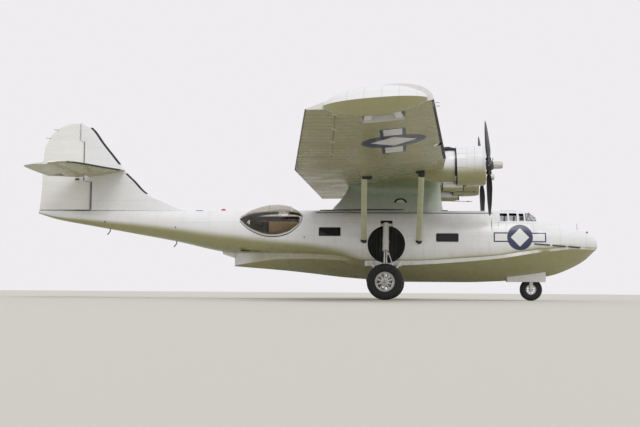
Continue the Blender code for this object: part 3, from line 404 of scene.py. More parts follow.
def fabric(name, y_period=BAY):
    """Doped cloth: raised rib tapes, and a fine weave."""
    finish = weathered(Finish(name, (0.79, 0.79, 0.755), 0.5, Sheen_Weight=0.05), 0.16)
    weave = finish.noise(420.0, detail=1.0)
    finish.raise_by(weave, 0.0004)
    tapes = finish.y.every(y_period, 0.0, 0.022)
    finish.tint(tapes * 0.07, (1.0, 1.0, 0.97)).raise_by(tapes, 0.0015)
    # Painted shade: dark lines along the ribs, only on the faces that turn to the ground
    finish.tint(finish.y.every(y_period, 0.0, 0.030) * finish.facing_down() * 0.75, (0.11, 0.10, 0.05))
    if name == "wing_cloth":
        out = (finish.y.do("ABSOLUTE") - KINK_Y).most(0.0)
        edge = WING_LE_S + CHORD * math.cos(INCIDENCE) - 0.040
        finish.tint((finish.station() + out * TRAILING_SWEEP > edge) * 0.8, (0.04, 0.04, 0.03))
        finish.tint((out < 0.028) * (out > 0.0) * 0.75, (0.07, 0.065, 0.045))
    return finish.material


def rudder_cloth():
    finish = weathered(Finish("rudder_cloth", (0.79, 0.79, 0.755), 0.5), 0.16, under=False)
    finish.raise_by(finish.noise(420.0, detail=1.0), 0.0004)
    tapes = finish.z.every(0.34, 0.0, 0.018)
    finish.tint(tapes * 0.07, (1.0, 1.0, 0.97)).raise_by(tapes, 0.0015)
    return finish.material


def plain(name, colour, roughness, metallic=0.0, grain=30.0, depth=0.0004, spread_by=0.12, **sockets):
    """A finish with a little grain and uneven sheen."""
    finish = Finish(name, colour, roughness, metallic, **sockets)
    patches = finish.noise(grain * 0.2, detail=4.0).between(0.35, 0.7)
    finish.rough(patches, max(0.03, roughness - spread_by / 2), roughness + spread_by / 2)
    finish.tint(patches * 0.35, [c * 0.72 for c in colour])
    finish.raise_by(finish.noise(grain), depth)
    return finish.material


def cowl_paint():
    finish = weathered(Finish("cowling_paint", WHITE, 0.28, Coat_Weight=0.25, Coat_Roughness=0.12), 0.15)
    s, z = finish.station(), finish.height()
    level = z - THRUST_Z
    rings = (s.near(4.02, 0.004) + s.near(4.30, 0.005) + s.near(4.55, 0.005)).least(1.0)
    splits = (level.near(-0.28, 0.004) + level.near(0.22, 0.004)).least(1.0) * (s < 4.55)
    seams(finish, (rings + splits).least(1.0), shade=0.55)
    rivets(finish, z, s, 0.28, 4.02)
    flaps = level.every(0.16, 0.02, 0.003) * (s > 4.60) * (s < 4.87)
    seams(finish, flaps, shade=0.35)
    soot = finish.noise(2.5, (0.6, 2.0, 2.0)).between(0.40, 0.75) * s.between(4.9, 6.2) * level.between(-0.1, 0.6)
    finish.tint(soot * 0.45, (0.10, 0.09, 0.08))
    return finish.material


def pylon_paint():
    """White paint darkened by painted shade of the wing, most towards the top, with a dark arched window and the shade
    of a step on each side.
    """
    finish = weathered(Finish("pylon_paint", WHITE, 0.3, Coat_Weight=0.25, Coat_Roughness=0.15), 0.14)
    s, z = finish.station(), finish.height()
    seams(finish, (z.near(2.62, 0.004) + s.near(6.1, 0.004) + s.near(7.5, 0.004)).least(1.0))
    rivets(finish, s, z, 0.31, 2.62)
    # Painted shade of the wing above: a grey-green tint over the whole pylon, strongest towards the top
    finish.tint(z.between(2.25, 3.15) * 0.25 + 0.55, (0.20, 0.26, 0.16))
    across, up = (s - 6.72) * (1 / 0.22), (z - 2.70) * (1 / 0.16)
    far = (across * across + up * up).do("SQRT")
    arch = (far < 1.0) * (far > 0.66) * (up > 0.0)
    finish.tint(arch, BLACK)
    finish.tint((far < 0.66) * (up > 0.0) * 0.5, (0.6, 0.62, 0.56))
    return finish.material


def tail_paint():
    finish = weathered(Finish("tail_paint", WHITE, 0.3, Coat_Weight=0.25, Coat_Roughness=0.15), 0.12)
    s, z = finish.station(), finish.height()
    seams(finish, (z.every(0.62, 0.3, 0.004) + s.near(17.0, 0.004)).least(1.0), shade=0.22)
    rivets(finish, s, z, 0.62, 0.3)
    return finish.material


def float_paint():
    finish = weathered(Finish("float_paint", WHITE, 0.3, Coat_Weight=0.25, Coat_Roughness=0.15), 0.14)
    s = finish.station()
    seams(finish, s.every(0.41, 0.05, 0.004), shade=0.35)
    rivets(finish, finish.z, s, 0.41, 0.05)
    return finish.material


def dial_face():
    """Black with scattered pale marks, without any figures."""
    finish = Finish("dial_face", (0.015, 0.015, 0.016), 0.25)
    turn = finish.noise(60.0).between(0.45, 0.6)
    finish.tint(turn * 0.5, (0.8, 0.8, 0.74))
    return finish.material


GLASS = dict(Transmission_Weight=1.0, IOR=1.45)
M = {
    "hull": hull_paint(),
    "wing": wing_paint("wing_paint"),
    "wing_l": wing_paint("wing_paint_port"),
    "wing_r": wing_paint("wing_paint_starboard", "r"),
    "cloth": fabric("wing_cloth"),
    "rudder": rudder_cloth(),
    "cloth_tail": fabric("tail_cloth", 0.37),
    "pylon": pylon_paint(),
    "tail": tail_paint(),
    "float": float_paint(),
    "dial": dial_face(),
    "cowl": cowl_paint(),
    "boot": plain("black_rubber_boot", (0.009, 0.009, 0.010), 0.55, grain=60.0),
    "tyre": plain("tyre_rubber", (0.016, 0.016, 0.017), 0.75, grain=90.0, depth=0.0008),
    "black": plain("black_paint", (0.022, 0.022, 0.024), 0.42, grain=40.0),
    "frame": plain("frame_paint", (0.05, 0.052, 0.05), 0.4, grain=40.0),
    # Near-black walls for the wheel wells, nose well, leg slots and waist block: painted shade in recesses
    "dark": plain("inside_painted_shade", (0.030, 0.032, 0.028), 0.8, grain=8.0),
    "green": plain("inside_paint", (0.16, 0.18, 0.12), 0.6, grain=10.0),
    "tan": plain("tan_lining", (0.52, 0.37, 0.20), 0.7, grain=14.0),
    "leather": plain("seat_leather", (0.20, 0.11, 0.06), 0.5, grain=70.0, depth=0.001),
    "steel": plain("gear_steel", (0.42, 0.42, 0.43), 0.34, 1.0, grain=50.0),
    "chrome": plain("oleo_chrome", (0.75, 0.75, 0.76), 0.12, 1.0, grain=50.0, spread_by=0.06),
    "alloy": plain("wheel_alloy", (0.66, 0.66, 0.65), 0.42, 0.4, grain=40.0),
    "hub": plain("hub_beige", (0.62, 0.595, 0.53), 0.38, 0.2, grain=30.0),
    "engine": plain("engine_castings", (0.09, 0.09, 0.10), 0.45, 0.6, grain=45.0),
    "blade": plain("blade_black", (0.020, 0.020, 0.022), 0.36, grain=40.0),
    "gear_white": plain("gear_white", (0.74, 0.74, 0.72), 0.38, grain=30.0),
    "red": plain("red_lens", (0.45, 0.012, 0.012), 0.2, grain=20.0, Coat_Weight=0.5),
    "brass": plain("brass", (0.55, 0.40, 0.16), 0.3, 1.0, grain=40.0),
    "wood": plain("cork_grip", (0.25, 0.17, 0.10), 0.6, grain=50.0),
    "clear": Finish("clear_acrylic", (0.62, 0.66, 0.66), 0.03, **GLASS).material,
    # Opaque near-black glass for windows, hatch and lamp lens: painted shade of the dark inside behind them
    "smoke": plain("dark_glass_painted_shade", (0.012, 0.013, 0.014), 0.12, grain=6.0, spread_by=0.06, Specular_IOR_Level=0.3),
    # Quarter panes: a light grey base colour as painted sky reflection, with a clear coat that also reflects
    "reflection_glass": plain("glass_painted_sky_reflection", (0.34, 0.36, 0.37), 0.10, grain=9.0, spread_by=0.06, Coat_Weight=0.6),
    # Struts: their olive tone is painted shade from the wing above
    "strut": plain("strut_painted_wing_shade", (0.55, 0.57, 0.38), 0.38, grain=20.0),
    "blister": Finish("blister_acrylic", (0.86, 0.77, 0.66), 0.03, **GLASS).material,
}


# Pieces
def piece(name, mesh, finish, body="airframe", stands_for=(), angle=32, merge=1e-5):
    """A mesh becomes a piece that rides on a body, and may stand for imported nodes."""
    if merge:
        bmesh.ops.remove_doubles(mesh, verts=mesh.verts, dist=merge)
    bmesh.ops.dissolve_degenerate(mesh, dist=1e-6, edges=mesh.edges)
    bmesh.ops.recalc_face_normals(mesh, faces=mesh.faces)
    data = bpy.data.meshes.new(name)
    mesh.to_mesh(data)
    mesh.free()
    made = bpy.data.objects.new(name, data)
    bpy.context.scene.collection.objects.link(made)
    data.materials.append(M[finish])
    if body:
        smooth_shade(made, angle)
        settle(made, body, stands_for)
    return made


def settle(made, body, stands_for=()):
    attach(made, body)
    if stands_for:
        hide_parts(*stands_for)


def smooth_shade(made, angle):
    made.data.shade_smooth()
    made.data.set_sharp_from_angle(angle=math.radians(angle))


def carve(made, cutters, operation="DIFFERENCE", keep_cutters=False, angle=32):
    """Cuts or joins pieces at once; the new faces keep the cutters' finishes."""
    for cutter in cutters:
        change = made.modifiers.new(cutter.name, "BOOLEAN")
        change.object = cutter
        change.operation = operation
        change.solver = "EXACT"
        change.material_mode = "TRANSFER"
    bpy.context.view_layer.update()
    shape = made.evaluated_get(bpy.context.evaluated_depsgraph_get())
    data = bpy.data.meshes.new_from_object(shape)
    made.modifiers.clear()
    made.data = data
    smooth_shade(made, angle)
    if not keep_cutters:
        for cutter in cutters:
            bpy.data.objects.remove(cutter, do_unlink=True)
    return made


def new_mesh():
    return bmesh.new()


def grid(mesh, rows, wrap=True):
    """Faces between rows of points; each row is a closed ring if it wraps."""
    lines = [[mesh.verts.new(p) for p in row] for row in rows]
    count = len(lines[0])
    for row, following in zip(lines, lines[1:]):
        for i in range(count if wrap else count - 1):
            j = (i + 1) % count
            mesh.faces.new((row[i], row[j], following[j], following[i]))
    return lines


def loft(rings, mesh=None):
    """A closed solid through rings."""
    mesh = mesh or new_mesh()
    lines = grid(mesh, rings)
    for end in (lines[0], lines[-1]):
        mesh.faces.new(end)
    return mesh


def box(mesh, low, high, soft=0.0):
    """A box between two corners, with its edges rounded off if soft."""
    low, high = Vector(low), Vector(high)
    size = Matrix.Diagonal([abs(b - a) for a, b in zip(low, high)]).to_4x4()
    made = bmesh.ops.create_cube(mesh, size=1.0, matrix=Matrix.Translation((low + high) / 2) @ size)
    if soft:
        edges = list({edge for vert in made["verts"] for edge in vert.link_edges})
        bmesh.ops.bevel(mesh, geom=edges, offset=soft, segments=3, profile=0.5, affect="EDGES")
    return mesh


def rod(mesh, start, end, radius, sides=16, far=None):
    """A round bar or cone from one point to another."""
    way = end - start
    turn = way.to_track_quat("Z", "Y").to_matrix().to_4x4()
    bmesh.ops.create_cone(
        mesh, cap_ends=True, segments=sides, radius1=radius, radius2=radius if far is None else far,
        depth=way.length, matrix=Matrix.Translation((start + end) / 2) @ turn,
    )
    return mesh


def ball(mesh, centre, radius, squash=(1, 1, 1)):
    shape = Matrix.Translation(centre) @ Matrix.Diagonal([radius * k for k in squash]).to_4x4()
    bmesh.ops.create_uvsphere(mesh, u_segments=16, v_segments=10, radius=1.0, matrix=shape)
    return mesh


def tube(mesh, points, radius, sides=10):
    """A round tube along points."""
    rings, across = [], None
    for i, point in enumerate(points):
        way = (points[min(i + 1, len(points) - 1)] - points[max(i - 1, 0)]).normalized()
        across = way.orthogonal().normalized() if across is None else (across - way * across.dot(way)).normalized()
        other = way.cross(across)
        turns = [2 * math.pi * k / sides for k in range(sides)]
        rings.append([point + radius * (math.cos(t) * across + math.sin(t) * other) for t in turns])
    return loft(rings, mesh)


# Hull
def side_arc(low_y, low_z, wide_y, wide_z, steps=9):
    turns = [math.pi / 2 * k / steps for k in range(1, steps + 1)]
    return [(low_y + (wide_y - low_y) * math.sin(t), wide_z - (wide_z - low_z) * math.cos(t)) for t in turns]


def deck_arc(wide_y, wide_z, deck, steps=14, power=2.4):
    points = []
    for k in range(1, steps + 1):
        turn = math.pi / 2 * k / steps
        across = max(0.0, math.cos(turn)) ** (2 / power)
        points.append((wide_y * across if k < steps else 0.0, wide_z + (deck - wide_z) * math.sin(turn) ** (2 / power)))
    return points


def upper_row(s, grow=0.0):
    """The hull above the neck at a station, from the port neck over the deck to the starboard one."""
    _, neck_z, neck_y, wide_z, wide_y, deck = smooth(UPPER, s)
    half = [(neck_y + grow, neck_z - grow)] + side_arc(neck_y + grow, neck_z - grow, wide_y + grow, wide_z)
    half += deck_arc(wide_y + grow, wide_z, deck + grow)
    return [at(s, y, z) for y, z in half] + [at(s, -y, z) for y, z in half[-2::-1]]


def bottom_row(s, table, steps=7):
    """The hull below the neck at a station, from the starboard neck past the keel to the port one."""
    _, neck_z, neck_y, *_ = smooth(UPPER, s)
    _, keel, chine_z, chine_y = smooth(table, s)
    half = [(neck_y, neck_z), (chine_y, chine_z)]
    for k in range(steps - 1, -1, -1):
        u = k / steps
        half.append((chine_y * u, keel + (chine_z - keel) * (0.68 * u + 0.32 * u * u)))
    return [at(s, -y, z) for y, z in half] + [at(s, y, z) for y, z in half[-2::-1]]


def hull_shell():
    """The whole outside of the hull: decks and sides, two planing bottoms, two steps and the tail cone."""
    mesh = new_mesh()
    stations = spread(0.0, 19.46, 0.13, 0.01, 0.03, 0.06, 0.10, 2.09, 2.12, 2.40, 2.46, 7.90, 12.48)
    upper = grid(mesh, [upper_row(s) for s in stations], wrap=False)
    rows = [bottom_row(s, BOTTOM) for s in stations if s <= 7.90]
    rows += [bottom_row(s, AFTERBODY) for s in stations if 7.90 <= s <= 12.48]
    lower = grid(mesh, rows, wrap=False)
    mesh.faces.new(lower[-1])
    mesh.faces.new(upper[0] + lower[0][1:-1])
    mesh.faces.new(upper[-1])
    tail = [row for row, s in zip(upper, stations) if s >= 12.48]
    for row, following in zip(tail, tail[1:]):
        mesh.faces.new((row[0], row[-1], following[-1], following[0]))
    bmesh.ops.remove_doubles(mesh, verts=mesh.verts, dist=1e-5)
    bmesh.ops.triangulate(mesh, faces=[face for face in mesh.faces if len(face.verts) > 4])
    return mesh


def inner_line(s, floor, wall, steps=9):
    """Points inside the hull at a station, from the floor's edge up the side to the middle of the roof."""
    _, neck_z, neck_y, wide_z, wide_y, deck = smooth(UPPER, s)
    broad, tall = wide_y - neck_y - wall, wide_z - neck_z - wall
    top = max(wide_z, floor + 0.1)
    points = []
    for k in range(steps + 1):
        z = top - (top - floor) * math.cos(math.pi / 2 * k / steps)
        drop = min(1.0, max(0.0, (wide_z - z) / tall))
        points.append((neck_y + broad * math.sqrt(1 - drop**2), z))
    return points + deck_arc(wide_y - wall, top, deck - wall)


def room(s_low, s_high, floor, wall, step=0.25):
    """The hollow inside the hull: flat floor, round sides, crowned roof."""
    rings = []
    for s in spread(s_low, s_high, step):
        half = [(0.0, floor)] + inner_line(s, floor, wall)
        rings.append([at(s, y, z) for y, z in half] + [at(s, -y, z) for y, z in half[-2:0:-1]])
    return loft(rings)


def hoop(mesh, s, floor, inset, radius):
    """A frame that follows the hull's inside from floor to floor."""
    half = inner_line(s, floor, inset)
    return tube(mesh, [at(s, y, z) for y, z in half] + [at(s, -y, z) for y, z in half[-2::-1]], radius, sides=8)


def slab(name, centre, size, corner, finish, axis="y", tilt=0.0, segments=4):
    """A plate with rounded corners, seen along an axis: a cutter for windows and lids."""
    mesh = new_mesh()
    made = bmesh.ops.create_cube(mesh, size=1.0, matrix=Matrix.Diagonal(size).to_4x4())
    lane = "xyz".index(axis)
    edges = [e for e in {e for v in made["verts"] for e in v.link_edges}
             if abs((e.verts[0].co - e.verts[1].co)[lane]) > 1e-6
             and sum(abs(c) > 1e-6 for c in e.verts[0].co - e.verts[1].co) == 1]
    if corner:
        bmesh.ops.bevel(mesh, geom=edges, offset=corner, segments=segments, profile=0.5, affect="EDGES")
    place = Matrix.Translation(centre) @ Matrix.Rotation(tilt, 4, "Y")
    bmesh.ops.transform(mesh, matrix=place, verts=mesh.verts)
    return piece(name, mesh, finish, body=None)


def hull_band(s_low, s_high, proud, depth, name, finish, step=0.08):
    """A skin that lies on the hull's side and deck between two stations, from which patches are cut."""
    rows = spread(s_low, s_high, step)
    outer = [upper_row(s, proud) for s in rows]
    inner = [upper_row(s, proud - depth) for s in rows]
    rings = [o + i[::-1] for o, i in zip(outer, inner)]
    return piece(name, loft(rings), finish, body=None)


def patch(name, outline, finish, proud, depth, hole=None, reach=0.35):
    """A patch that follows the hull: the part of a band inside an outline, less a hole."""
    corners = [Vector(c) for c in outline.bound_box]
    low, high = min(c.x for c in corners), max(c.x for c in corners)
    band = hull_band(NOSE_X - high - reach * 0.3, NOSE_X - low + reach * 0.3, proud, depth, name, finish)
    carve(band, [outline], "INTERSECT")
    if hole:
        carve(band, [hole])
    settle(band, "airframe")
    return band


# Cockpit openings: front, rear, sill and head of each side pane
SIDE_PANES = ((2.56, 2.735, 2.062, 2.335), (2.79, 3.06, 2.05, 2.345), (3.11, 3.37, 2.04, 2.34))
SCREEN_SLOPE = math.atan2(2.46 - 2.18, 2.42 - 2.10)
# Windows in the hull's side, drawn as black panes on the skin that stand for the shaded inside (painted shade): front,
# rear, sill, head
HULL_PANES = ((4.77, 5.52, 1.33, 1.62), (8.72, 9.46, 1.51, 1.81))


def pane(name, way, front, rear, sill, head, margin, finish, corner=0.035, deep=0.8):
    centre = at((front + rear) / 2, way * 1.35, (sill + head) / 2)
    size = (rear - front + 2 * margin, deep * 2, head - sill + 2 * margin)
    return slab(name, centre, size, corner + margin, finish)


def screen(name, way, margin, finish):
    size = (0.31 + 2 * margin, 0.60 + 2 * margin, 0.5)
    return slab(name, at(2.255, way * 0.36, 2.305), size, 0.04 + margin, finish, "z", SCREEN_SLOPE)


def blister_rings(way, grow):
    rings = []
    keys = [row[0] for row in BLISTER]
    for s in spread(keys[0], keys[-1], 0.06, 10.04, 10.06, 12.16):
        _, y, z, radius = smooth(BLISTER, s)
        reach = max(radius + grow, 0.012)
        turns = [2 * math.pi * k / 40 for k in range(40)]
        rings.append([at(s, way * (y + reach * math.cos(t)), z + reach * math.sin(t)) for t in turns])
    return rings


def make_hull():
    hull = piece("hull_skin", hull_shell(), "hull", body=None, merge=0)
    cutters = [
        piece("cut_cockpit_room", room(1.60, 3.70, 1.22, 0.03), "green", body=None),
        piece("cut_waist_room", room(7.95, 12.30, 0.98, 0.03), "green", body=None),
        slab("cut_roof_hatch", at(3.0, 0, 2.55), (0.520, 0.580, 0.5), 0.06, "frame", "z"),
        # Near-black nose well walls: painted shade in the recess
        piece("cut_nose_well", box(new_mesh(), at(3.10, -0.30, -0.5), at(1.75, 0.30, 1.05)), "dark", body=None),
    ]
    for side, way in SIDES:
        for number, bounds in enumerate(SIDE_PANES):
            cutters.append(pane(f"cut_pane_{side}_{number}", way, *bounds, 0.0, "frame"))
        cutters.append(screen(f"cut_screen_{side}", way, 0.0, "frame"))
        blister = loft(blister_rings(way, -0.03))
        cutters.append(piece(f"cut_blister_{side}", blister, "hull", body=None))
        # The well's cut walls take this cutter's near-black finish: painted shade in the recess
        s, z, radius = WELL
        well = rod(new_mesh(), at(s, way * 1.05, z), at(s, way * 2.3, z), radius, sides=72)
        cutters.append(piece(f"cut_well_{side}", well, "dark", body=None))
        slot = box(new_mesh(), at(s + 0.20, way * 1.02, z), at(s - 0.20, way * 2.3, 2.05))
        cutters.append(piece(f"cut_leg_slot_{side}", slot, "dark", body=None))
    carve(hull, cutters)
    nodes = ("hull_bow", "hull_cockpit", "hull_centre", "hull_waist", "hull_tail")
    settle(hull, "airframe", nodes)


# Wing
def thickness(x):
    return 5 * (0.2969 * math.sqrt(x) - 0.126 * x - 0.3516 * x**2 + 0.2843 * x**3 - 0.1015 * x**4)


def upper(x):
    return 0.29 * thickness(x)


def lower(x):
    return -(0.024 * math.sqrt(x) * (1 - x) + 0.018 * math.sin(math.pi * x)) - 0.0005 * x


def chord_at(y):
    out = max(0.0, abs(y) - KINK_Y) / (TIP_Y - KINK_Y)
    return CHORD + (TIP_CHORD - CHORD) * out


def wing_point(y, x, height):
    """A point of the wing at a span position, a share of the chord aft and another above it."""
    out = max(0.0, abs(y) - KINK_Y) / (TIP_Y - KINK_Y)
    chord = chord_at(y)
    edge = WING_LE_S + (TIP_LE_S - WING_LE_S) * out
    rise = WING_LE_Z + DIHEDRAL * max(0.0, abs(y) - KINK_Y)
    along = x * math.cos(INCIDENCE) + height * math.sin(INCIDENCE)
    up = height * math.cos(INCIDENCE) - x * math.sin(INCIDENCE)
    return at(edge + chord * along, y, rise + chord * up)


def sag(y, x, front, rear, depth, period=BAY):
    """How far cloth sinks between ribs, fading out towards the front and rear of its panel."""
    bay = abs(math.sin(math.pi * y / period)) ** 0.6
    share = min(max((x - front) / (rear - front), 0.0), 1.0)
    return depth * bay * math.sin(math.pi * share) ** 0.5


def wing_ring(y, fractions, cloth=0.0, proud=0.0):
    """One wing section over a range of chord fractions, its cloth sunk between ribs."""
    front, rear = fractions[0], fractions[-1]
    chord = chord_at(y)

    def dip(x):
        return (sag(y, x, front, rear, cloth) if cloth else 0.0) / chord - proud / chord

    top = [wing_point(y, x, upper(x) - dip(x)) for x in reversed(fractions)]
    bottom = [wing_point(y, x, lower(x) + dip(x)) for x in fractions]
    return top[:-1] + bottom if fractions[0] == 0 else top + bottom


NOSE_SHARES = [0.0, 0.001, 0.004, 0.009, 0.016, 0.026, 0.04, 0.06, 0.08]
FRONT = NOSE_SHARES + [0.11 + 0.035 * k for k in range(14)] + [BOX_END - 0.0001]
REAR = [BOX_END + (1 - BOX_END) * k / 16 for k in range(17)]


def make_wing():
    half = KINK_Y - 0.001
    centre = loft([wing_ring(y, FRONT) for y in (-half, 0.0, half)])
    piece("wing_centre_skin", centre, "wing", stands_for=["wing_centre"])
    cloth = loft([wing_ring(y, REAR, 0.007) for y in spread(-half, half, BAY / 6)])
    piece("wing_centre_cloth", cloth, "cloth", stands_for=["wing_centre_trailing"])
    for side, way in SIDES:
        ends = [way * (KINK_Y + 0.001), way * TIP_Y]
        finish = "wing_r" if side == "r" else "wing_l"
        outer = piece(f"wing_outer_skin_{side}", loft([wing_ring(y, FRONT) for y in ends]), finish, body=None)
        pocket = piece(f"cut_pocket_{side}", float_pocket(way), "wing", body=None)
        carve(outer, [pocket])
        settle(outer, "airframe", [f"wing_outer_{side}"])
        rows = [way * y for y in spread(KINK_Y + 0.001, TIP_Y, BAY / 6, 8.572, 14.908)]
        trailing = piece(f"wing_cloth_{side}", loft([wing_ring(y, REAR, 0.007) for y in rows]), "cloth", body=None)
        space = piece(f"cut_aileron_{side}", aileron_space(way), "frame", body=None)
        carve(trailing, [space])
        settle(trailing, "airframe", [f"wing_trailing_{side}"])
        piece(f"aileron_cloth_{side}", aileron(way), "cloth", f"aileron_{side}", [f"aileron_{side}"])
        boots(side, way)


AILERON_HALF = (upper(AILERON_HINGE) - lower(AILERON_HINGE)) / 2
AILERON_MIDDLE = (upper(AILERON_HINGE) + lower(AILERON_HINGE)) / 2


def aileron_nose(y, radius):
    turns = [math.radians(90 - 180 * k / 12) for k in range(13)]
    return [
        wing_point(y, AILERON_HINGE - radius * math.cos(t), AILERON_MIDDLE + radius * math.sin(t)) for t in turns
    ]


def aileron_space(way):
    rings = []
    for y in (AILERON_Y[0] - 0.028, AILERON_Y[1] + 0.028):
        radius = AILERON_HALF + 0.010 / chord_at(y)
        rings.append(
            aileron_nose(way * y, radius) + [wing_point(way * y, 1.05, -0.12), wing_point(way * y, 1.05, 0.14)]
        )
    return loft(rings)


def aileron(way):
    rings = []
    shares = [AILERON_HINGE + (1 - AILERON_HINGE) * k / 10 for k in range(1, 11)]
    for y in spread(*AILERON_Y, BAY / 6):
        chord = chord_at(y)
        dips = [sag(y, x, AILERON_HINGE, 1.0, 0.006) / chord for x in shares]
        ring = aileron_nose(way * y, AILERON_HALF)
        ring += [wing_point(way * y, x, lower(x) + dip) for x, dip in zip(shares, dips)]
        ring += [wing_point(way * y, x, upper(x) - dip) for x, dip in zip(shares[::-1], dips[::-1])]
        rings.append(ring)
    return loft(rings)


def boots(side, way):
    """The black rubber strip along the outer wing's leading edge."""
    shares = (0.018, 0.012, 0.007, 0.003, 0.001)
    rings = []
    for y in (KINK_Y + 0.05, TIP_Y - 0.10):
        def strip(proud):
            top = [wing_point(way * y, x, upper(x) + proud) for x in shares]
            bottom = [wing_point(way * y, x, lower(x) - proud) for x in shares[::-1]]
            return top + [wing_point(way * y, -proud, 0.0)] + bottom
        rings.append(strip(0.0016) + strip(-0.002)[::-1])
    piece(f"wing_boot_{side}", loft(rings), "boot")


def float_panel(y, rise, s):
    """A point under the outer wing, level with its lower skin."""
    z = WING_LE_Z + DIHEDRAL * (abs(y) - KINK_Y) - INCIDENCE * (s - TIP_LE_S) + lower(0.35) * 3.2
    return at(s, y, z + rise)


def float_pocket(way):
    rings = []
    for y in (13.25, 15.10):
        corners = ((6.48, -0.40), (6.48, 0.15), (7.56, 0.15), (7.56, -0.40))
        rings.append([float_panel(way * y, rise, s) for s, rise in corners])
    return loft(rings)


# Pylon, struts, nacelles
def pylon_ring(z, front, rear, half_width):
    """One level of the pylon: round front, straight sides, tapering tail."""
    shares = (0, 0.004, 0.015, 0.035, 0.06, 0.1, 0.14, 0.22, 0.3, 0.42, 0.55, 0.66, 0.75, 0.83, 0.9, 0.95, 0.98, 1)
    side = []
    for share in shares:
        nose = math.sqrt(max(0.0, 1 - (1 - min(share / 0.16, 1)) ** 2))
        tail = math.sqrt(max(0.0, 1 - max(0.0, (share - 0.5) / 0.5) ** 2.2))
        side.append((front + (rear - front) * share, half_width * nose * tail))
    return [at(s, y, z) for s, y in side] + [at(s, -y, z) for s, y in side[-2:0:-1]]


def make_pylon():
    rows = smooth_rows(PYLON, spread(2.22, 3.70, 0.06))
    piece("pylon_skin", loft([pylon_ring(*row) for row in rows]), "pylon", stands_for=["pylon"])
    seal = new_mesh()
    for way in (1, -1):
        points = [at(s, way * (0.20 + 0.52 * math.sin(math.pi * (s - 5.0) / 4.6)), 2.45) for s in spread(5.1, 9.5, 0.2)]
        tube(seal, points, 0.018, sides=8)
    piece("pylon_seal", seal, "black")


STRUTS = {"front": (6.08, 1.28, 6.00), "rear": (7.92, 1.30, 7.84)}
STRUT_TOP = (3.50, 3.46)


def strut_ring(end, way, along, grow=0.0):
    foot_s, foot_z, top_s = STRUTS[end]
    foot, top = Vector((foot_s, 1.50, foot_z)), Vector((top_s, *STRUT_TOP))
    run = top - foot
    centre = foot + run * along
    across = Vector((0.0, run.z, -run.y)).normalized()
    shares = [(1 - math.cos(math.pi * k / 12)) / 2 for k in range(13)]
    outline = [(share, 0.076 * thickness(share) + grow) for share in shares]
    outline += [(share, -width) for share, width in outline[-2:0:-1]]
    points = []
    for share, width in outline:
        point = centre + Vector(((share - 0.4) * (0.19 + 2 * grow), 0, 0)) + across * width
        points.append(at(point.x, way * point.y, point.z))
    return points


def make_struts():
    for side, way in SIDES:
        fittings = new_mesh()
        for end in STRUTS:
            mesh = loft([strut_ring(end, way, a) for a in (-0.03, 0.5, 1.03)])
            piece(f"strut_{end}_skin_{side}", mesh, "strut", stands_for=[f"strut_{end}_{side}"])
            for low, high in ((-0.03, 0.045), (0.955, 1.03)):
                loft([strut_ring(end, way, a, 0.008) for a in (low, high)], fittings)
            for reach in (0.0, 0.004):
                foot_s, foot_z, top_s = STRUTS[end]
                foot = at(foot_s + 0.02, way * (1.53 + reach), foot_z + 0.01)
                rod(fittings, foot, foot + Vector((0, way * 0.07, 0)), 0.045 - reach * 4)
            low, high = (-0.22, 0.10) if end == "rear" else (-0.06, 0.20)
            plate = []
            for y in (3.43, 3.55):
                skin = [wing_point(way * y, (s - WING_LE_S) / CHORD, 0.0) for s in (top_s + low, top_s + high)]
                drop = [lower((s - WING_LE_S) / CHORD) * CHORD for s in (top_s + low, top_s + high)]
                ends = [p + Vector((0, 0, d)) for p, d in zip(skin, drop)]
                plate.append([ends[0], ends[1], ends[1] - Vector((0, 0, 0.07)), ends[0] - Vector((0, 0, 0.11))])
            loft(plate, fittings)
        piece(f"strut_fittings_{side}", fittings, "black")


def thrust(y, forward, radial=0.0, turn=0.0):
    """A point by its distance ahead of the propeller along the thrust line, radius and angle."""
    along = Vector((math.cos(THRUST_TILT), 0, math.sin(THRUST_TILT)))
    up = Vector((-math.sin(THRUST_TILT), 0, math.cos(THRUST_TILT)))
    centre = at(THRUST_S, y, THRUST_Z) + along * forward
    return centre + radial * (math.cos(turn) * up + math.sin(turn) * Vector((0, 1, 0)))


def rounded(points, rounds=2):
    """A line of points with its inner corners cut off, again and again."""
    for _ in range(rounds):
        cut = [points[0]]
        for a, b in zip(points, points[1:]):
            cut.append(tuple(p * 0.75 + q * 0.25 for p, q in zip(a, b)))
            cut.append(tuple(p * 0.25 + q * 0.75 for p, q in zip(a, b)))
        points = cut + [points[-1]]
    return points


def revolve(mesh, place, profile, start=0.0, sweep=2 * math.pi, steps=64):
    """Turns a closed profile of radii and distances; part of a turn gets flat ends."""
    whole = sweep > 6.28
    turns = [start + sweep * k / steps for k in range(steps if whole else steps + 1)]
    lines = grid(mesh, [[place(h, r, t) for r, h in profile] for t in turns])
    if whole:
        for i in range(len(profile)):
            j = (i + 1) % len(profile)
            mesh.faces.new((lines[-1][i], lines[-1][j], lines[0][j], lines[0][i]))
    else:
        mesh.faces.new(lines[0])
        mesh.faces.new(lines[-1])
    return mesh


def solid_of(mesh, place, profile, steps=32):
    """Turns an open profile whose ends lie on the axis."""
    rows = [[place(h, r, 2 * math.pi * k / steps) for k in range(steps)] for r, h in profile[1:-1]]
    lines = grid(mesh, rows)
    for (_, h), line in ((profile[0], lines[0]), (profile[-1], lines[-1])):
        tip = mesh.verts.new(place(h, 0.0, 0.0))
        for i in range(steps):
            mesh.faces.new((tip, line[i], line[(i + 1) % steps]))
    return mesh


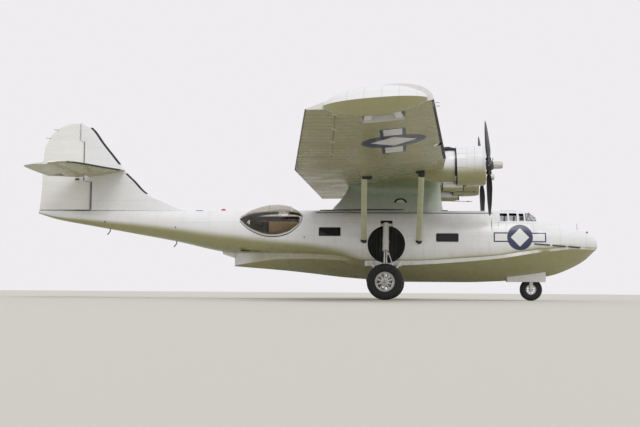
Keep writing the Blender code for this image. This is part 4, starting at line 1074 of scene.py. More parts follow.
def cowl_profile():
    outer = rounded([(0.535, -0.17), (0.54, -0.135), (0.585, -0.125), (0.625, -0.14), (0.655, -0.24), (0.66, -0.41)])
    outer += [(0.66, -0.58), (0.66, -0.76)]
    inner = [(0.64, -0.76), (0.638, -0.41), (0.60, -0.29), (0.545, -0.21)]
    return outer + inner


COOLER_Z = 3.12


def barrel(y):
    """Places of the oil cooler's barrel, which lies along the flow."""
    return lambda h, r, t: at(4.985 - h, y + r * math.sin(t), COOLER_Z + r * math.cos(t))


def make_engines():
    for side, way in SIDES:
        y = way * ENGINE_Y

        def place(h, r, t):
            return thrust(y, h, r, t)

        rows = smooth_rows(NACELLE, spread(4.93, 6.80, 0.09))
        turns = [2 * math.pi * k / 56 for k in range(56)]
        rings = [[at(s, y + w * math.cos(t), z + h * math.sin(t)) for t in turns] for s, z, w, h in rows]
        nacelle = piece(f"nacelle_skin_{side}", loft(rings), "cowl", stands_for=[f"nacelle_{side}"])
        nacelle.data.update()
        cooler = revolve(new_mesh(), barrel(y), rounded([
            (0.118, 0.34), (0.130, 0.35), (0.168, 0.12), (0.170, -0.05), (0.158, -0.22), (0.140, -0.34),
        ]) + [(0.125, -0.34), (0.13, 0.0)], steps=40)
        saddle = loft([[at(s, y + a * 0.13, z) for s, a in ((4.92, 0), (5.0, 1), (5.30, 1), (5.42, 0), (5.30, -1), (5.0, -1))]
                       for z in (3.16, 3.50)], cooler)
        piece(f"oil_cooler_{side}", saddle, "cowl")
        rims = new_mesh()
        for h, r in ((0.342, 0.126), (-0.345, 0.136)):
            revolve(rims, barrel(y), [(r - 0.012, h - 0.014), (r + 0.016, h - 0.014), (r + 0.016, h + 0.014), (r - 0.012, h + 0.014)], steps=40)
        box(rims, at(5.36, y - 0.11, 2.90), at(5.345, y + 0.11, 3.03), 0.004)
        for number in range(9):
            offset = (number - 4) * 0.026
            box(rims, at(4.70, y + offset - 0.002, COOLER_Z - 0.10), at(4.72, y + offset + 0.002, COOLER_Z + 0.10))
        tube(rims, [at(5.30, y, 2.96), at(4.55, y, 2.945), at(4.15, y, 2.94)], 0.008, sides=6)
        ball(rims, at(4.30, y, 2.945), 0.022, (1.6, 1, 1))
        solid_of(rims, barrel(y), [(0, 0.05), (0.125, 0.05), (0.125, -0.20), (0, -0.20)], steps=24)
        piece(f"oil_cooler_rims_{side}", rims, "black")

        cowl = revolve(new_mesh(), place, cowl_profile(), steps=96)
        flaps = 15
        for number in range(flaps):
            start = math.radians(18 + 180 + number * (324 / flaps) + 0.2)
            sweep = math.radians(324 / flaps - 0.4)
            leaf = [(0.662, -0.77), (0.664, -0.90), (0.668, -1.06), (0.660, -1.06), (0.654, -0.90), (0.650, -0.77)]
            revolve(cowl, place, leaf, start, sweep, steps=6)
        revolve(cowl, place, [(0.640, -0.755), (0.662, -0.755), (0.662, -0.775), (0.640, -0.775)], steps=72)
        piece(f"cowling_skin_{side}", cowl, "cowl", stands_for=[f"cowling_{side}"])
        shade = [(0.50, -1.085), (0.636, -1.085), (0.636, -1.10), (0.50, -1.10)]
        piece(f"cowling_shade_{side}", revolve(new_mesh(), place, shade, steps=72), "black")
        engine(side, y, place)
        propeller(side, y, place)


def engine(side, y, place):
    """Crankcase and gear case, two rows of finned cylinders with their push rods, and the exhaust ring."""
    case = rounded([(0.075, -0.098), (0.09, -0.17), (0.19, -0.24), (0.25, -0.32), (0.27, -0.40), (0.27, -0.78),
                    (0.22, -0.84), (0.30, -0.95), (0.30, -1.10)], 1)
    body = solid_of(new_mesh(), place, [(0, -0.098)] + case + [(0, -1.10)], steps=40)
    for number in range(16):
        turn = 2 * math.pi * number / 16
        rod(body, thrust(y, -0.20, 0.175, turn), thrust(y, -0.225, 0.215, turn), 0.010, sides=6)
    revolve(body, place, [(0.27, -0.488), (0.632, -0.488), (0.632, -0.512), (0.27, -0.512)], steps=56)
    piece(f"engine_case_{side}", body, "engine", stands_for=[f"engine_{side}"])
    barrels = new_mesh()
    rods = new_mesh()
    for row, depth in enumerate((-0.37, -0.63)):
        for number in range(7):
            turn = 2 * math.pi * (number + 0.5 * row) / 7
            axis = (thrust(y, depth, 1.0, turn) - thrust(y, depth)).normalized()
            base = thrust(y, depth)
            ahead = thrust(0, 1.0) - thrust(0, 0.0)
            beside = ahead.cross(axis)

            def cylinder(h, r, t):
                return base + axis * h + r * (math.cos(t) * ahead + math.sin(t) * beside)

            profile = [(0, 0.20), (0.062, 0.20)]
            for fin in range(14):
                out = 0.27 + fin * 0.022
                reach = 0.075 if fin < 9 else 0.088
                profile += [(0.062, out), (reach, out + 0.003), (reach, out + 0.010), (0.062, out + 0.013)]
            profile += [(0.05, 0.585), (0, 0.592)]
            solid_of(barrels, cylinder, profile, steps=16)
            for lean in (-0.045, 0.045):
                start = thrust(y, depth + 0.08, 0.26, turn + lean * 2.2)
                rod(rods, start, thrust(y, depth + 0.07, 0.56, turn + lean * 1.6), 0.010, sides=8)
                ball(rods, thrust(y, depth + 0.04, 0.565, turn + lean * 1.6), 0.035, (1, 1, 1))
    piece(f"engine_cylinders_{side}", barrels, "engine", angle=25)
    piece(f"engine_push_rods_{side}", rods, "black")
    pipes = new_mesh()
    ring = [thrust(y, -0.96, 0.50, 2 * math.pi * k / 40) for k in range(41)]
    tube(pipes, ring, 0.055, sides=12)
    for lean in (-0.24, 0.24):
        points = [at(4.78, y + lean, 4.20), at(4.95, y + lean, 4.335), at(5.15, y + lean, 4.375), at(5.36, y + lean, 4.36)]
        tube(pipes, points, 0.034, sides=14)
    box(pipes, at(5.34, y - 0.30, 4.31), at(4.90, y + 0.30, 4.352), 0.015)
    ball(pipes, at(5.11, y, 4.385), 0.05, (0.8, 1, 1))
    piece(f"exhaust_{side}", pipes, "black")
    harness = tube(new_mesh(), [thrust(y, -0.27, 0.33, 2 * math.pi * k / 40) for k in range(41)], 0.013, sides=8)
    for number in range(14):
        turn = 2 * math.pi * number / 14
        points = [thrust(y, -0.27, 0.33, turn), thrust(y, -0.26, 0.44, turn + 0.03), thrust(y, -0.33, 0.52, turn + 0.08)]
        tube(harness, points, 0.006, sides=6)
    piece(f"ignition_harness_{side}", harness, "brass")


def blade_ring(y, row, turn):
    radius, chord, thick, pitch = row
    angle = math.radians(pitch)
    shares = [(1 - math.cos(math.pi * k / 8)) / 2 for k in range(9)]
    outline = [(share, thick * thickness(share)) for share in shares]
    outline += [(share, -0.8 * half) for share, half in outline[-2:0:-1]]
    tangent = thrust(y, 0.0, 1.0, turn + math.pi / 2) - thrust(y, 0.0)
    ring = []
    for share, out in outline:
        across = (share - 0.45) * chord
        sideways = across * math.cos(angle) - out * math.sin(angle)
        forward = across * math.sin(angle) + out * math.cos(angle)
        ring.append(thrust(y, forward, radius, turn) + tangent * sideways)
    return ring


def propeller(side, y, place):
    """Dome, hub with its clamps, and three twisted blades."""
    body = f"propeller_{side}"
    dome = rounded([(0.02, 0.46), (0.075, 0.455), (0.115, 0.43), (0.122, 0.36), (0.122, 0.20)])
    mesh = solid_of(new_mesh(), place, [(0, 0.46)] + dome + [(0.122, 0.13), (0, 0.13)], steps=36)
    piece(f"propeller_dome_{side}", mesh, "hub", body)
    core = rounded([(0.128, 0.145), (0.135, 0.12), (0.17, 0.085), (0.172, -0.05), (0.15, -0.088)], 1)
    hub = solid_of(new_mesh(), place, [(0, 0.15)] + core + [(0, -0.088)], steps=36)
    blades = new_mesh()
    for number in range(3):
        turn = math.radians(30 + 120 * number)
        rod(hub, thrust(y, 0.0, 0.10, turn), thrust(y, 0.0, 0.27, turn), 0.082, sides=24, far=0.075)
        rod(hub, thrust(y, 0.0, 0.24, turn), thrust(y, 0.0, 0.285, turn), 0.092, sides=24)
        rod(blades, thrust(y, 0.0, 0.22, turn), thrust(y, 0.0, 0.36, turn), 0.062, sides=24, far=0.05)
        rows = smooth_rows(BLADE, spread(0.30, 1.84, 0.07, 1.80, 1.82))
        loft([blade_ring(y, row, turn) for row in rows], blades)
    piece(f"propeller_hub_{side}", hub, "engine", body)
    piece(f"propeller_blades_{side}", blades, "blade", body, [f"propeller_{side}"])


# Tail
def tail_half(y):
    return 0.105 - 0.055 * y / 4.65


def fin_half(z):
    return 0.115 - 0.065 * (z - 2.45) / 3.09


def tail_point(y):
    return lambda s, h: at(s, y, TAIL_MID[1] - TAIL_SLOPE * (s - TAIL_MID[0]) + h)


def fixed_ring(edge, rear, hinge, half, point):
    """A fixed tail surface's section: rounded leading edge, fuller towards the hinge, cut off square."""
    side = []
    for share in (0, 0.002, 0.008, 0.02, 0.045, 0.08, 0.13, 0.2, 0.3, 0.42, 0.56, 0.7, 0.85, 1.0):
        s = edge + (rear - edge) * share
        side.append((s, half * math.sin(math.pi / 2 * ((s - edge) / (hinge - edge)) ** 0.6)))
    return [point(s, h) for s, h in reversed(side)] + [point(s, -h) for s, h in side[1:]]


def control_ring(hinge, tail, overhang, half, point, dip=0.0):
    """A control surface's section: round balance ahead of the hinge, taper behind, its cloth sunk by dip."""
    turns = [math.radians(90 - 180 * k / 12) for k in range(13)]
    ring = [point(hinge - overhang * math.cos(t), half * math.sin(t)) for t in turns]
    steps = [k / 8 for k in range(1, 9)]
    for way, order in ((-1, steps), (1, steps[::-1])):
        for share in order:
            h = half + (0.004 - half) * share - dip * math.sin(math.pi * share) ** 0.5
            ring.append(point(hinge + (tail - hinge) * share, way * max(h, 0.004)))
    return ring


def fin_edge(z):
    return smooth(FIN, z)[1]


def edge_strip(name, sections):
    """A black strip over a leading edge; each section gives its points from one side round to the other."""
    rings = []
    for outer, inner in sections:
        rings.append(outer + inner[::-1])
    piece(name, loft(rings), "boot")


def strip_section(edge, half, hinge, point, width=0.085):
    def side(grow):
        line = []
        for share in (1.0, 0.6, 0.3, 0.1):
            s = edge + width * share
            line.append((s, half * math.sin(math.pi / 2 * ((s - edge) / (hinge - edge)) ** 0.6) + grow))
        tip = [point(edge - grow * 1.5, 0.0)]
        return [point(s, h) for s, h in line] + tip + [point(s, -h) for s, h in reversed(line)]
    return side(0.004), side(-0.004)


def make_tail():
    mesh = new_mesh()
    for low, high, rear in ((2.433, 3.46, 17.60), (3.46, 4.88, 17.86), (4.88, 5.54, 18.00)):
        rows = []
        for z in spread(low, high, 0.10):
            edge = min(fin_edge(z), rear - 0.08)
            rows.append(fixed_ring(edge, rear - TAIL_GAP, RUDDER_HINGE_S, fin_half(z), lambda s, h, z=z: at(s, h, z)))
        loft(rows, mesh)
    piece("fin_skin", mesh, "tail", stands_for=["fin"], merge=0)
    rows = smooth_rows(RUDDER, spread(2.46, 5.50, 0.057, 3.45, 3.47, 4.56, 4.86, 4.88))
    rings = []
    for z, front, rear in rows:
        dip = 0.007 * abs(math.sin(math.pi * z / 0.34)) ** 0.6
        rings.append(control_ring(RUDDER_HINGE_S, rear, RUDDER_HINGE_S - front, fin_half(z),
                                  lambda s, h, z=z: at(s, h, z), dip))
    piece("rudder_cloth", loft(rings), "rudder", "rudder", ["rudder"])
    trim = new_mesh()
    for z in (5.28, 4.98):
        for h in (-0.02, 0.02):
            start = smooth(RUDDER, z)[2]
            tube(trim, [at(start - 0.05, h, z), at(start + 0.14, h, z + 0.012)], 0.005, sides=6)
    box(trim, at(18.16, -0.13, 3.50), at(18.02, 0.13, 3.56), 0.012)
    piece("rudder_trim", trim, "black", "rudder")
    gaps = new_mesh()
    for low, high, rear, width in ((2.45, 3.45, 17.588, 0.026), (3.49, 4.85, 17.848, 0.010), (4.90, 5.48, 17.988, 0.008)):
        rings = []
        for z in (low, high):
            sides = []
            for s in (rear - width, rear):
                half = fin_half(z) * math.sin(math.pi / 2 * ((s - fin_edge(z)) / (RUDDER_HINGE_S - fin_edge(z))) ** 0.6)
                sides.append((s, half + 0.0025))
            rings.append([at(s, y, z) for s, y in sides] + [at(s, -y, z) for s, y in sides[::-1]])
        loft(rings, gaps)
    box(gaps, at(19.42, -0.028, 2.430), at(17.60, 0.028, 2.452), 0.003)
    for way in (1, -1):
        tube(gaps, [at(17.62, way * 0.10, 2.428), at(18.80, way * 0.05, 2.436), at(19.42, way * 0.02, 2.438)], 0.010, sides=6)
    piece("fin_gap_seals", gaps, "black")
    tip_heights = ((4.06, 5.36), (3.02, 3.74))
    for number, (low, high) in enumerate(tip_heights):
        sections = [strip_section(fin_edge(z), fin_half(z), RUDDER_HINGE_S, lambda s, h, z=z: at(s, h, z))
                    for z in spread(low, high, 0.12)]
        edge_strip(f"fin_boot_{number}", sections)
    for side, way in SIDES:
        tailplane(side, way)


def tailplane(side, way):
    rear = ELEVATOR_HINGE_S - 0.30 - TAIL_GAP
    rows = smooth_rows(TAILPLANE, spread(0.15, 4.64, 0.12, 4.40, 4.48, 4.56, 4.60))
    rings = []
    for y, edge, _ in rows:
        near = 0.0005 if y < 0.16 else y
        rings.append(fixed_ring(min(edge, rear - 0.05), rear, ELEVATOR_HINGE_S, tail_half(y), tail_point(way * near)))
    piece(f"tailplane_skin_{side}", loft(rings), "tail", stands_for=[f"tailplane_{side}"])
    rings = []
    for y, _, edge in smooth_rows(TAILPLANE, spread(0.15, 4.64, 0.07, 4.40, 4.48, 4.56, 4.60)):
        near = 0.24 + (y - 0.15) * 0.4 if y < 0.30 else y
        overhang = 0.30 if y < 4.5 else 0.30 - (y - 4.5) * 1.5
        dip = 0.006 * abs(math.sin(math.pi * y / 0.37)) ** 0.6
        rings.append(control_ring(ELEVATOR_HINGE_S, edge, overhang, tail_half(y), tail_point(way * near), dip))
    elevator = piece(f"elevator_cloth_{side}", loft(rings), "cloth_tail", body=None)
    outline = ((17.60, -0.05), (17.60, 0.22), (18.02, 0.24), (19.20, 0.86), (19.20, -0.05))
    wedge = loft([[at(s, way * y, z) for s, y in outline] for z in (3.2, 4.2)])
    carve(elevator, [piece(f"cut_sweep_{side}", wedge, "cloth_tail", body=None)])
    settle(elevator, f"elevator_{side}", [f"elevator_{side}"])
    sections = []
    for y in spread(0.45, 4.38, 0.3):
        edge = smooth(TAILPLANE, y)[1]
        sections.append(strip_section(edge, tail_half(y), ELEVATOR_HINGE_S, tail_point(way * y)))
    edge_strip(f"tailplane_boot_{side}", sections)
    tabs = new_mesh()
    for y in (1.1, 1.4):
        point = tail_point(way * y)
        tube(tabs, [point(18.35, -0.070), point(18.60, -0.045)], 0.004, sides=6)
        box(tabs, point(18.37, -0.080) - Vector((0.01, 0.006, 0)), point(18.34, -0.05) + Vector((0.01, 0.006, 0)), 0.002)
    piece(f"elevator_tab_rods_{side}", tabs, "black", f"elevator_{side}")


# Wing-tip floats
FLOAT_S = (5.95, 8.43)
FLOAT_Y = (15.06, 15.85)
FLOAT_Z = 4.14


def float_ring(share, way, grow=0.0):
    plan = max(0.0, 1 - abs(share) ** 2.3) ** 0.75
    half = 0.04 + 0.31 * plan + grow
    depth = 0.10 + (FLOAT_Y[1] - FLOAT_Y[0] - 0.10) * max(0.0, 1 - abs(share) ** 2.6) ** 0.8
    s = (FLOAT_S[0] + FLOAT_S[1]) / 2 + share * (FLOAT_S[1] - FLOAT_S[0]) / 2
    lift = -INCIDENCE * (s - 7.2)
    side = rounded([(0.0, 0.70), (0.03, 0.88), (0.16, 0.97), (0.36, 0.98), (0.50, 0.93)], 1)
    side += [(0.505, 0.945), (0.64, 0.78), (0.78, 0.56), (0.90, 0.27), (1.0, 0.0)]
    outline = side + [(out, -up) for out, up in side[-2::-1]]
    return [at(s, way * (FLOAT_Y[0] + (depth + grow) * out), FLOAT_Z + lift + half * up) for out, up in outline]


def make_floats():
    shares = [math.sin(math.pi / 2 * k / 14) for k in range(-14, 15)]
    for side, way in SIDES:
        body = f"float_{side}"
        mesh = loft([float_ring(share, way) for share in shares])
        piece(f"float_shell_{side}", mesh, "float", body, [f"float_{side}"])
        arms = new_mesh()
        for root_s, tip_s in ((6.62, 6.75), (7.42, 7.35)):
            rings = []
            for y, s in ((13.32, root_s), (15.12, tip_s)):
                corners = ((-0.09, 0.03), (-0.09, 0.08), (0.09, 0.08), (0.09, 0.03))
                rings.append([float_panel(way * y, rise, s + across) for across, rise in corners])
            loft(rings, arms)
        for ends in (((13.5, 6.66), (15.05, 7.30)), ((13.5, 7.38), (15.05, 6.80))):
            tube(arms, [float_panel(way * y, 0.055, s) for y, s in ends], 0.014, sides=8)
        piece(f"float_arms_{side}", arms, "gear_white", body)
        strake = new_mesh()
        line = [float_ring(share, way, 0.004) for share in shares[1:-1]]
        keel = len(line[0]) // 2
        tube(strake, [ring[keel] - Vector((0, way * 0.006, 0)) for ring in line], 0.006, sides=6)
        piece(f"float_keel_strip_{side}", strake, "float", body)


# Landing gear
def wheel_place(centre):
    return lambda h, r, t: centre + Vector((r * math.sin(t), h, r * math.cos(t)))


def tyre(name, node, body, centre, radius, half, bore, grooves):
    wall = radius - bore
    side = rounded([
        (bore, half * 0.60), (bore + wall * 0.10, half * 0.86), (bore + wall * 0.40, half * 0.985),
        (bore + wall * 0.66, half), (bore + wall * 0.88, half * 0.82), (radius - 0.006, half * 0.48),
        (radius, half * 0.26),
    ])
    tread = []
    for place in grooves:
        width, deep = 0.004, 0.010
        tread += [(radius, half * place + width), (radius - deep, half * place + width * 0.6),
                  (radius - deep, half * place - width * 0.6), (radius, half * place - width)]
    profile = side + tread + [(r, -h) for r, h in side[::-1]] + [(bore, 0.0)]
    piece(name, revolve(new_mesh(), wheel_place(centre), profile, steps=96), "tyre", body, [node])


def rim(name, node, body, centre, bore, half, axle, holes):
    """A cast wheel: rim with its flanges, a dished web with openings, hub and bolts."""
    edge = bore - 0.0004
    flange = rounded([(edge, half * 0.60), (edge + 0.018, half * 0.62), (edge + 0.016, half * 0.70), (edge - 0.004, half * 0.69)], 1)
    deep = [(edge * 0.93, half * 0.50), (edge * 0.88, half * 0.38), (edge * 0.42, half * 0.44)]
    hub = [(axle + 0.045, half * 0.48), (axle + 0.035, half * 0.60), (axle, half * 0.60)]
    outer = flange + deep + hub
    profile = outer + [(r, -h) for r, h in outer[::-1]]
    wheel = piece(name, revolve(new_mesh(), wheel_place(centre), profile, steps=80), "alloy", body=None)
    holes_mesh = new_mesh()
    place = wheel_place(centre)
    for number in range(holes):
        turn = 2 * math.pi * (number + 0.5) / holes
        low, high, wide = edge * 0.44, edge * 0.84, math.pi / holes * 0.74
        outline = [(low, turn - wide * 0.55), (low, turn + wide * 0.55), (high * 0.93, turn + wide), (high, turn + wide * 0.7),
                   (high, turn - wide * 0.7), (high * 0.93, turn - wide)]
        loft([[place(h, r, t) for r, t in outline] for h in (-half, half)], holes_mesh)
    carve(wheel, [piece(name + "_cut", holes_mesh, "alloy", body=None)])
    settle(wheel, body, [node])
    bolts = new_mesh()
    for number in range(8):
        turn = 2 * math.pi * number / 8
        for way in (1, -1):
            rod(bolts, place(way * half * 0.40, axle + 0.06, turn), place(way * half * 0.52, axle + 0.06, turn), 0.008, sides=6)
    piece(name + "_bolts", bolts, "steel", body)


def make_main_gear():
    s, track, radius = MAIN_WHEEL
    axle_z = radius - KEEL_HEIGHT
    for side, way in SIDES:
        centre = at(s, way * track, axle_z)
        body = f"wheel_{side}"
        tyre(f"tyre_rubber_{side}", f"main_tyre_{side}", body, centre, radius, 0.21, 0.31, (0.20, 0.0, -0.20))
        rim(f"wheel_casting_{side}", f"main_wheel_{side}", body, centre, 0.31, 0.21, 0.058, 10)
        cap = new_mesh()
        place = wheel_place(centre)
        profile = rounded([(0.055, 0.135), (0.05, 0.150), (0.02, 0.158)], 1)
        solid_of(cap, lambda h, r, t: place(h * way, r, t), [(0, 0.125), (0.056, 0.125)] + profile + [(0, 0.16)], steps=24)
        piece(f"wheel_cap_{side}", cap, "steel", body)
        knuckle = track - 0.33

        def leg_point(out, z, station=s):
            return at(station, way * out, z)

        top, foot = leg_point(1.17, 1.92), leg_point(knuckle, axle_z + 0.02)
        run = foot - top
        leg = new_mesh()
        rod(leg, top - run * 0.01, top + run * 0.46, 0.102, sides=28)
        rod(leg, top + run * 0.45, top + run * 0.475, 0.112, sides=28)
        rod(leg, top + run * 0.30, top + run * 0.32, 0.112, sides=28)
        rod(leg, leg_point(1.20, 1.90, s - 0.21), leg_point(1.20, 1.90, s + 0.17), 0.05, sides=20)
        rod(leg, leg_point(knuckle - 0.12, axle_z), leg_point(knuckle + 0.08, axle_z), 0.118, sides=28)
        for foot_s in (6.72, 7.68):
            rod(leg, leg_point(1.575, 0.60, foot_s), leg_point(knuckle - 0.03, axle_z), 0.040, sides=16)
            rod(leg, leg_point(1.5155, 0.60, foot_s), leg_point(1.60, 0.60, foot_s), 0.07, sides=20)
            rod(leg, leg_point(1.50, 0.60, foot_s), leg_point(1.525, 0.60, foot_s), 0.10, sides=20)
        for share in (0.52, 0.90):
            anchor = top + run * share
            box(leg, anchor - Vector((0.05, 0.03, 0.03)), anchor + Vector((0.13, 0.03, 0.03)), 0.008)
        knee = top + run * 0.71 + Vector((0.24, 0, 0))
        for share in (0.52, 0.90):
            anchor = top + run * share + Vector((0.11, 0, 0))
            rod(leg, anchor, knee, 0.020, sides=12, far=0.014)
        piece(f"gear_leg_{side}", leg, "gear_white", stands_for=[f"main_leg_{side}"], merge=0)
        bright = new_mesh()
        rod(bright, top + run * 0.46, foot, 0.070, sides=28)
        rod(bright, leg_point(knuckle, axle_z), leg_point(track + 0.12, axle_z), 0.048, sides=24)
        rod(bright, knee - Vector((0, 0.04, 0)), knee + Vector((0, 0.04, 0)), 0.012, sides=10)
        piece(f"gear_oleo_{side}", bright, "chrome")
        brake = new_mesh()
        rod(brake, leg_point(track - 0.21, axle_z), leg_point(track - 0.12, axle_z), 0.165, sides=36)
        rod(brake, leg_point(track - 0.24, axle_z), leg_point(track - 0.20, axle_z), 0.11, sides=30)
        hose = [top + run * t + Vector((-0.10 - 0.02 * math.sin(6 * t), 0, 0.02)) for t in (0.1, 0.3, 0.5, 0.7, 0.85)]
        tube(brake, hose + [leg_point(track - 0.22, axle_z + 0.09)], 0.011, sides=8)
        piece(f"gear_brake_{side}", brake, "black")
        well(side, way)


def well(side, way):
    """What shows inside a wheel's well: its rim strip and frames."""
    s, z, radius = WELL
    ribs = new_mesh()
    points = [at(s + 0.9 * radius * math.sin(t), way * 1.07, z + 0.9 * radius * math.cos(t))
              for t in [2 * math.pi * k / 40 for k in range(41)]]
    tube(ribs, points, 0.012, sides=6)
    for aft in (-0.34, -0.20, 0.20, 0.34):
        tall = math.sqrt(radius**2 - aft**2) * 0.97
        tube(ribs, [at(s + aft, way * 1.07, z - tall), at(s + aft, way * 1.07, z + tall)], 0.014, sides=6)
    piece(f"well_frames_{side}", ribs, "frame")


def make_nose_gear():
    s, radius = NOSE_WHEEL
    axle_z = radius - KEEL_HEIGHT
    centre = at(s, 0, axle_z)
    tyre("nose_tyre_rubber", "nose_tyre", "nose_wheel", centre, radius, 0.105, 0.17, (0.24, -0.24))
    rim("nose_wheel_casting", "nose_wheel", "nose_wheel", centre, 0.17, 0.105, 0.035, 8)
    leg = rod(new_mesh(), at(s, 0, 0.42), at(s, 0, 1.049), 0.068, sides=28)
    rod(leg, at(s, 0, 0.40), at(s, 0, 0.44), 0.078, sides=28)
    rod(leg, at(s, 0, 0.52), at(2.92, 0, 0.99), 0.032, sides=16)
    box(leg, at(3.00, -0.10, 0.95), at(2.84, 0.10, 1.049), 0.01)
    for way in (1, -1):
        rod(leg, at(s + 0.02, way * 0.02, 0.60), at(s + 0.16, way * 0.27, 1.02), 0.018, sides=12)
    piece("nose_leg_strut", leg, "gear_white", stands_for=["nose_leg"], merge=0)
    bright = rod(new_mesh(), at(s, 0, 0.362), at(s, 0, 0.43), 0.050, sides=24)
    piece("nose_oleo", bright, "chrome")
    fork = box(new_mesh(), at(2.34, -0.16, 0.20), at(2.16, 0.16, 0.27), 0.018)
    rod(fork, at(s, 0, 0.23), at(s, 0, 0.354), 0.054, sides=24)
    for way in (1, -1):
        outline = [(s - 0.035, axle_z - 0.045), (s + 0.035, axle_z - 0.045), (s + 0.055, axle_z + 0.10), (s + 0.075, 0.22),
                   (s - 0.075, 0.22), (s - 0.055, axle_z + 0.10)]
        loft([[at(a, way * y, z) for a, z in outline] for y in (0.123, 0.157)], fork)
        rod(fork, at(s, way * 0.150, axle_z), at(s, way * 0.165, axle_z), 0.038, sides=16)
        rod(fork, at(s + 0.10, way * 0.03, 0.30), at(s + 0.16, way * 0.02, 0.40), 0.012, sides=10)
    rod(fork, at(s, -0.15, axle_z), at(s, 0.15, axle_z), 0.026, sides=20)
    piece("nose_fork_casting", fork, "gear_white", "nose_fork", ["nose_fork"], merge=0)
    for side, way in SIDES:
        rows = []
        for a in spread(1.77, 3.08, 0.12):
            line = [(0.297, 0.46), (0.300, 0.24), (0.300, 0.02), (0.290, 0.02), (0.288, 0.24), (0.283, 0.46)]
            rows.append([at(a, way * y, z) for y, z in line])
        door = loft(rows)
        for a in (2.0, 2.42, 2.85):
            box(door, at(a + 0.02, way * 0.289, 0.05), at(a - 0.02, way * 0.270, 0.44), 0.004)
        piece(f"nose_door_skin_{side}", door, "gear_white", stands_for=[f"nose_door_{side}"], merge=0)


# Windows, blisters and cockpit
def side_reach(s, z):
    """The hull's half-width at a station and a height above its widest part."""
    _, _, _, wide_z, wide_y, deck = smooth(UPPER, s)
    share = min(1.0, max(0.0, (z - wide_z) / (deck - wide_z)))
    return wide_y * (1 - share**2.4) ** (1 / 2.4)


def make_windows():
    for side, way in SIDES:
        for number, bounds in enumerate(HULL_PANES):
            frame_of = pane(f"hull_window_frame_{side}_{number}", way, *bounds, 0.030, "hull")
            hole = pane(f"cut_window_{side}_{number}", way, *bounds, 0.0, "frame")
            patch(f"hull_window_frame_{side}_{number}", frame_of, "hull", 0.005, 0.012, hole)
            # Black pane over the unbroken skin: painted shade of the inside
            glass_of = pane(f"cut_glass_{side}_{number}", way, *bounds, 0.004, "smoke")
            patch(f"hull_window_glass_{side}_{number}", glass_of, "smoke", 0.0025, 0.010)
        for number, bounds in enumerate(SIDE_PANES):
            outline = pane(f"cockpit_frame_{side}_{number}", way, *bounds, 0.018, "hull")
            hole = pane(f"cut_frame_{side}_{number}", way, *bounds, -0.006, "frame")
            patch(f"cockpit_window_frame_{side}_{number}", outline, "hull", 0.004, 0.012, hole)
        corners = ((2.50, 2.07), (2.14, 2.07), (2.14, 2.11), (2.37, 2.325), (2.50, 2.325))
        mesh = loft([[at(s, way * y, z) for s, z in corners] for y in (0.70, 1.6)])
        # Opaque quarter pane whose pale colour is a painted sky reflection
        patch(f"quarter_glass_{side}", piece(f"cut_quarter_{side}", mesh, "reflection_glass", body=None), "reflection_glass", 0.003, 0.010)
        bars = new_mesh()
        loop = [*corners, corners[0]]
        for (s0, z0), (s1, z1) in [*zip(loop, loop[1:]), (corners[3], corners[0]), ((2.30, 2.07), (2.44, 2.325))]:
            line = [(s0 + (s1 - s0) * k / 4, z0 + (z1 - z0) * k / 4) for k in range(5)]
            tube(bars, [at(s, way * side_reach(s, z), z) for s, z in line], 0.012, sides=6)
        piece(f"quarter_bars_{side}", bars, "frame")
        outline = screen(f"screen_outline_{side}", way, 0.020, "hull")
        hole = screen(f"cut_screen_frame_{side}", way, -0.008, "frame")
        patch(f"windscreen_frame_{side}", outline, "hull", 0.005, 0.016, hole, reach=0.5)


